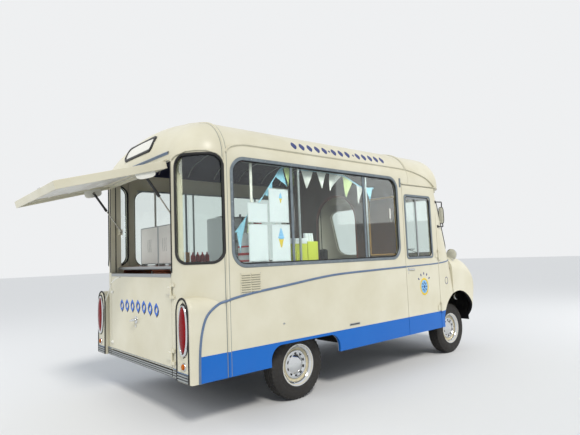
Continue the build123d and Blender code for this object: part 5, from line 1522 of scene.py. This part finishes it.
class VAN_OT_seats(bpy.types.Operator):
    """Upholster the two cab seats"""

    bl_idname = "van.seats"
    bl_label = "Cab seats"

    def execute(self, context):
        """Makes the cushions, their piping and the steel bases."""
        bm = bmesh.new()
        for side, word in SIDES:
            y0, y1 = sorted((side * SEAT_Y - 230, side * SEAT_Y + 230))
            base = stuffed("seat_cushion_" + word, (2694, y0 + 2, 783), (3116, y1 - 2, 896), 30, 7)
            back = stuffed("seat_back_" + word, (2674, y0 + 2, 903), (2776, y1 - 2, 1376), 30, 7, True)
            for made, low, high, plane in ((base, (2694, y0), (3116, y1), "z"), (back, (y0, 903), (y1, 1376), "x")):
                tree = BVHTree.FromPolygons([v.co for v in made.data.vertices],
                                            [p.vertices for p in made.data.polygons])
                path = []
                for a, b in rounded(low[0] - 40, high[0] + 40, low[1] - 40, high[1] + 40, 80, 5):
                    middle = Vector(((low[0] + high[0]) / 2, (low[1] + high[1]) / 2))
                    near = Vector((a, b)) * 0.999
                    if plane == "z":
                        start, goal = at(near.x, near.y, 872), at(middle.x, middle.y, 872)
                    else:
                        start, goal = at(2752, near.x, near.y), at(2752, middle.x, middle.y)
                    path.append(onto(tree, start, (goal - start).normalized()))
                sweep(bm, path, half_round(8, 6), closed=True)
            piece(bm, "seat_piping_" + word, "ivory_bakelite")
            block(bm, 2702, 3058, side * SEAT_Y - 178, side * SEAT_Y + 178, 532, 781)
            for z in (600, 690):
                strip(bm, FORE, [(3058, side * SEAT_Y + t, z) for t in (-150, 0, 150)], half_round(14, 4))
            for x in (2730, 3030):
                for y in (side * SEAT_Y - 182, side * SEAT_Y + 182):
                    block(bm, x - 20, x + 20, y - 8, y + 8, 525, 545)
            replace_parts(piece(bm, "seat_base_" + word, "black_enamel", bevel=3), "seats")
        return {"FINISHED"}


class VAN_OT_cab(bpy.types.Operator):
    """Fit the steering wheel, dials, levers and pedals"""

    bl_idname = "van.cab"
    bl_label = "Cab controls"

    def execute(self, context):
        """Makes what the driver handles."""
        bm = bmesh.new()
        lean = math.radians(17.5)
        hub = at(3130, -SEAT_Y, 1110)
        way = Vector((-math.sin(lean), 0, math.cos(lean)))
        ring = [(205 + 11 * math.cos(math.tau * k / 12), 11 * math.sin(math.tau * k / 12)) for k in range(13)]
        lathe(bm, hub, way, ring, 64)
        bmesh.ops.remove_doubles(bm, verts=bm.verts[:], dist=WELD)
        across = OUT[LEFT]
        fore = across.cross(way)
        for vert in bm.verts:
            arm = vert.co - hub
            turn = math.atan2(arm.dot(fore), arm.dot(across))
            away = arm - way * arm.dot(way)
            if away.length < 0.202:
                vert.co += away.normalized() * 0.002 * (1 + math.cos(turn * 44))
        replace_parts(piece(bm, "steering_rim", "ivory_bakelite"), "steering_wheel")
        for turn in (0, 120, 240):
            arm = across * math.cos(math.radians(turn + 90)) + fore * math.sin(math.radians(turn + 90))
            for shift in (-9, 0, 9):
                cross = arm.cross(way) * shift / 1000
                rod(bm, hub + arm * 0.030 + cross, hub + arm * 0.198 + cross, 3.2, 10)
        lathe(bm, hub, way, [(0, 16), (20, 15), (31, 10), (33, 2), (31, -6), (24, -14), (0, -16)], 32)
        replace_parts(piece(bm, "steering_spokes", "chromium_plate"), "steering_wheel")
        foot = hub - way * 0.60
        rod(bm, hub - way * 0.014, hub - way * 0.58, 18, 24)
        rod(bm, hub - way * 0.07, hub - way * 0.30, 23, 24)
        block(bm, 3268, 3352, -558, -482, 525, 532)
        lathe(bm, Vector((foot.x, foot.y, 0.530)), UP, [(34, 0), (30, 10), (24, 30), (20, 34)], 32)
        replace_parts(piece(bm, "steering_column", "grey_enamel", bevel=1), "steering_wheel")

        face = at(3354, -SEAT_Y, 1125)
        lathe(bm, face, AFT, [(97, -4), (98, 4), (94, 9), (86, 9), (84, 3)], 48)
        for y in (-640, -680, -400, -360):
            lathe(bm, at(3345, y, 1065), AFT, [(11, -1), (11, 4), (7, 6), (7, 16), (9, 20), (0, 22)], 20)
        piece(bm, "dial_bezel_and_switches", "chromium_plate")
        lathe(bm, face, AFT, [(85, 2.5), (60, 3), (0, 3)], 48)
        piece(bm, "dial_face", "black_enamel")
        for k in range(13):
            turn = math.radians(-120 + 20 * k)
            out = Vector((0, -math.sin(turn), math.cos(turn)))
            inner = 62 if k % 3 == 0 else 69
            rod(bm, face + AFT * 0.0042 + out * inner / 1000, face + AFT * 0.0042 + out * 0.077, 1.4, 6)
        rod(bm, face + AFT * 0.006, face + Vector((-0.006, 0.048, -0.028)), 1.8, 8, 0.6)
        piece(bm, "dial_marks", "ivory_bakelite")

        strip(bm, AFT, [(3345, y, z) for y, z in rounded(120, 620, 1022, 1108, 16, 4)], strap(2, -0.6, 1.4),
              closed=True)
        strip(bm, UP, [(x, y, 1131) for x, y in rounded(3362, 3462, -920, 920, 30, 4)], half_round(10, 4),
              closed=True)
        piece(bm, "dash_trim", "extruded_aluminium")

        for y in (-600, -520, -440):
            strip(bm, OUT[LEFT], [(3332, y, 700), (3318, y, 640), (3308, y, 600)], strap(5, -4, 4))
        rod(bm, at(3225, -250, 529), at(3190, -236, 838), 9, 14, 7)
        lathe(bm, at(3225, -250, 529), UP, [(52, -1), (44, 10), (24, 30), (12, 36)], 28)
        rod(bm, at(3120, -150, 529), at(2990, -150, 690), 9, 12)
        piece(bm, "levers", "black_enamel")
        ball(bm, at(3189, -236, 850), 24, (1, 1, 0.85))
        rod(bm, at(2990, -150, 690), at(2962, -150, 724), 13, 16, 12)
        for y in (-600, -520, -440):
            domed(bm, oval(26, 34, 0.6, 24), at(3304, y, 592), OUT[RIGHT], Vector((0.42, 0, 0.91)),
                  [(1, -2), (1.0, 5), (0.9, 8), (0, 9)])
        piece(bm, "knobs_and_pedals", "moulded_rubber")
        for side, word in SIDES:
            strip(bm, OUT[-side], [(x, side * 963, z) for x, z in rounded(2690, 3262, 620, 1150, 40, 5)],
                  half_round(14, 4), closed=True)
            piece(bm, "door_card_bead_" + word, "ivory_bakelite", "cab_door_" + word)
            lathe(bm, at(2790, side * 963, 1010), OUT[-side], [(22, -1), (22, 4), (12, 8), (9, 20), (0, 21)], 24)
            rod(bm, at(2790, side * 946, 1010), at(2850, side * 944, 985), 6, 12, 5)
            ball(bm, at(2850, side * 940, 985), 9)
            piece(bm, "door_inner_handle_" + word, "chromium_plate", "cab_door_" + word)
        rod(bm, at(3452, -120, 2000), at(3440, -120, 1950), 5, 10)
        domed(bm, oval(95, 26, 0.7, 32), at(3436, -120, 1930), OUT[RIGHT], Vector((0.1, 0, 1)),
              [(1, -4), (1, 2), (0.95, 4), (0, 4.5)])
        piece(bm, "inner_mirror", "chromium_plate")
        return {"FINISHED"}


class VAN_OT_front(bpy.types.Operator):
    """Dress the nose: grille, bonnet strip, plate, wipers and pillar mirrors"""

    bl_idname = "van.front"
    bl_label = "Nose fittings"

    def execute(self, context):
        """Makes the trim of the front, which is of the type."""
        bm = bmesh.new()
        nose = skin("grille", "bonnet", "wings", "front_panel")
        ring = [onto(nose, at(4500, y, z), AFT) for y, z in closer(rounded(-348, 348, 582, 948, 178, 10))]
        sweep(bm, ring, half_round(26, 14), closed=True)
        slat = [(7.4, -10), (7.4, 1), (4, 5), (-4, 5), (-7.4, 1), (-7.4, -10)]
        for row in range(7):
            z = 600 + 330 / 8 * (row + 1)
            reach = 160 + math.sqrt(165 ** 2 - (z - 765) ** 2)
            strip(bm, FORE, [(4206, reach * t, z) for t in (-0.99, -0.5, 0, 0.5, 0.99)], slat)
        spear = [onto(skin("bonnet"), at(station, 0, 1500), DOWN)
                 for station in (3835, 3900, 3960, 4020, 4070, 4105)]
        sweep(bm, spear, half_round(18, 9))
        piece(bm, "grille_chrome", "chromium_plate")
        for y in (-190, 190):
            strip(bm, FORE, [(4346, y, 520), (4346, y, 600)], strap(12, -2, 2))
        outline = rounded(-258, 258, -54, 54, 12, 4)
        domed(bm, outline, at(4352, 0, 624), OUT[LEFT], UP, [(1, -3), (1, 2), (0.985, 3)])
        piece(bm, "front_plate_holder", "black_enamel")
        domed(bm, rounded(-250, 250, -46, 46, 8, 4), at(4355, 0, 624), OUT[LEFT], UP,
              [(1, -1), (1, 1.2), (0.99, 1.8), (0, 1.8)])
        piece(bm, "front_plate_blank", "white_enamel")

        screen = skin("body_glass", "front_panel", "bonnet")
        for side in (RIGHT, LEFT):
            foot, normal = onto(screen, at(4400, side * 430, 1252), AFT)
            lathe(bm, foot, normal, [(15, -2), (15, 6), (10, 12), (9, 20), (0, 22)], 20)
            arm = [onto(screen, at(4400, side * y, z), AFT) for y, z in ((430, 1252), (330, 1300), (210, 1322))]
            sweep(bm, [(place + face * 0.018, face) for place, face in arm], strap(5, -2, 2))
        piece(bm, "wiper_arms", "bright_steel_rod")
        for side in (RIGHT, LEFT):
            blade = [onto(screen, at(4400, side * y, z), AFT)
                     for y, z in ((30, 1330), (120, 1327), (210, 1324), (300, 1321), (385, 1318))]
            sweep(bm, [(place + face * 0.003, face) for place, face in blade],
                  [(3, -1), (5, 6), (5, 12), (-5, 12), (-5, 6), (-3, -1)])
        piece(bm, "wiper_blades", "moulded_rubber")

        round_bar = [(7 * math.cos(math.tau * k / 10), 7 * math.sin(math.tau * k / 10)) for k in range(10)]
        panel = skin("front_panel")
        for side, word in SIDES:
            for z, near in ((1880, 1790), (1580, 1650)):
                foot, normal = onto(panel, at(3345, side * 1300, z), OUT[-side])
                run = [foot, foot + Vector((0.012, side * 0.012, 0)), at(3405, side * 1004, z),
                       at(3455, side * 1000, z), at(3478, side * 986, (z + near) / 2), at(3478, side * 984, near)]
                facing = Vector((0.7, -side * 0.7, 0))
                sweep(bm, [(place, facing) for place in smooth_line(run, 4)], round_bar)
                lathe(bm, foot, OUT[side], [(18, -2), (18, 3), (12, 6), (0, 6)], 20)
            domed(bm, oval(34, 104, 0.45, 36), at(3468, side * 980, 1720), OUT[LEFT], UP,
                  [(1, -2), (1.0, 4), (0.9, 14), (0.6, 19), (0, 21)])
            piece(bm, "pillar_mirror_" + word, "black_enamel")
            domed(bm, oval(30, 98, 0.45, 36), at(3466.5, side * 980, 1720), OUT[RIGHT], UP,
                  [(1, -1), (1, 0.6), (0.5, 1.4), (0, 1.6)])
            piece(bm, "pillar_mirror_glass_" + word, "chromium_plate")
        return {"FINISHED"}


class VAN_OT_underside(bpy.types.Operator):
    """Fit the brakes, prop shaft, spring clips and pipes underneath"""

    bl_idname = "van.underside"
    bl_label = "Underside"

    def execute(self, context):
        """Makes the running gear's small parts."""
        bm = bmesh.new()
        for place, station, side in WHEELS:
            lathe(bm, at(station, side * HUB_Y, HUB_Z), OUT[side],
                  [(40, -29), (110, -29), (122, -24), (124, -10), (118, -8), (118, 2), (60, 6), (40, 6)], 40)
            piece(bm, "brake_drum_" + place, "cast_iron", "wheel_" + place)
        rod(bm, at(1250, 0, 318), at(3062, 0, 410), 28, 24)
        for station, z in ((1275, 319), (2150, 364), (3035, 409)):
            lathe(bm, at(station, 0, z), (1, 0, 0.05),
                  [(28, -32), (44, -28), (48, -8), (48, 8), (44, 28), (28, 32)], 24)
        lathe(bm, at(3490, 0, 420), AFT,
              [(0, 0), (66, 0), (66, 60), (56, 90), (54, 260), (40, 290), (36, 400), (30, 420), (0, 425)], 32)
        piece(bm, "propeller_shaft", "chassis_black")
        for station in (REAR_AXLE, FRONT_AXLE + 10):
            for side in (RIGHT, LEFT):
                for x in (station - 34, station + 34):
                    near, far = side * 400 - 34, side * 400 + 34
                    for y in (near, far):
                        rod(bm, at(x, y, 296), at(x, y, 386), 6, 8)
                    rod(bm, at(x, near, 386), at(x, far, 386), 6, 8)
                    for y in (near, far):
                        lathe(bm, at(x, y, 296), DOWN, [(11, -8), (11, 4), (0, 4)], 6)
        piece(bm, "spring_bolts", "bright_steel_rod", soft=50)
        for station in (1850, 2150):
            for run, way in (([(-901, 401), (-685, 400), (-469, 401)], DOWN),
                             ([(-900, 399), (-900, 450), (-900, 498)], OUT[RIGHT])):
                strip(bm, way, [(station, y, z) for y, z in run], flat_bar(30, 3))
        lathe(bm, at(2000, -900, 450), OUT[RIGHT], [(34, -2), (34, 10), (28, 16), (26, 24), (0, 26)], 28)
        for station, radius in ((1250, 22), (1740, 60), (2180, 60), (2650, 22)):
            band = [(math.cos(math.tau * k / 20), math.sin(math.tau * k / 20)) for k in range(20)]
            sweep(bm, [(at(station, 560 + radius * a, 410 + radius * b), Vector((0, a, b))) for a, b in band],
                  flat_bar(18, 4), closed=True)
        piece(bm, "straps_and_clamps", "sheet_galvanised")
        return {"FINISHED"}


CLASSES = (
    VAN_PG_sizes, VAN_OT_stage, VAN_OT_finishes,
    VAN_OT_windows, VAN_OT_mouldings, VAN_OT_lamps, VAN_OT_wheels, VAN_OT_rear, VAN_OT_hatch,
    VAN_OT_ornaments, VAN_OT_goods, VAN_OT_bunting, VAN_OT_linings, VAN_OT_machine, VAN_OT_seats, VAN_OT_cab,
    VAN_OT_front, VAN_OT_underside,
)
ORDER = [c.bl_idname.split(".")[1] for c in CLASSES if issubclass(c, bpy.types.Operator)]


class VAN_PT_panel(bpy.types.Panel):
    """Lists the van's operators and its sizes"""

    bl_idname = "VAN_PT_panel"
    bl_label = "Ice cream van"
    bl_space_type = "VIEW_3D"
    bl_region_type = "UI"
    bl_category = "Van"

    def draw(self, context):
        """Draws the sizes and one button for each operator."""
        for name in VAN_PG_sizes.__annotations__:
            self.layout.prop(context.scene.van_sizes, name)
        for step in ORDER:
            self.layout.operator("van." + step)


def register():
    """Registers the classes and the scene's sizes."""
    for made in (*CLASSES, VAN_PT_panel):
        bpy.utils.register_class(made)
    bpy.types.Scene.van_sizes = PointerProperty(type=VAN_PG_sizes)


def unregister():
    """Takes the classes and the scene's sizes away."""
    del bpy.types.Scene.van_sizes
    for made in reversed((*CLASSES, VAN_PT_panel)):
        bpy.utils.unregister_class(made)


def main():
    """Builds the dressed van."""
    register()
    for step in ORDER:
        getattr(bpy.ops.van, step)()


if __name__ == "__main__":
    main()
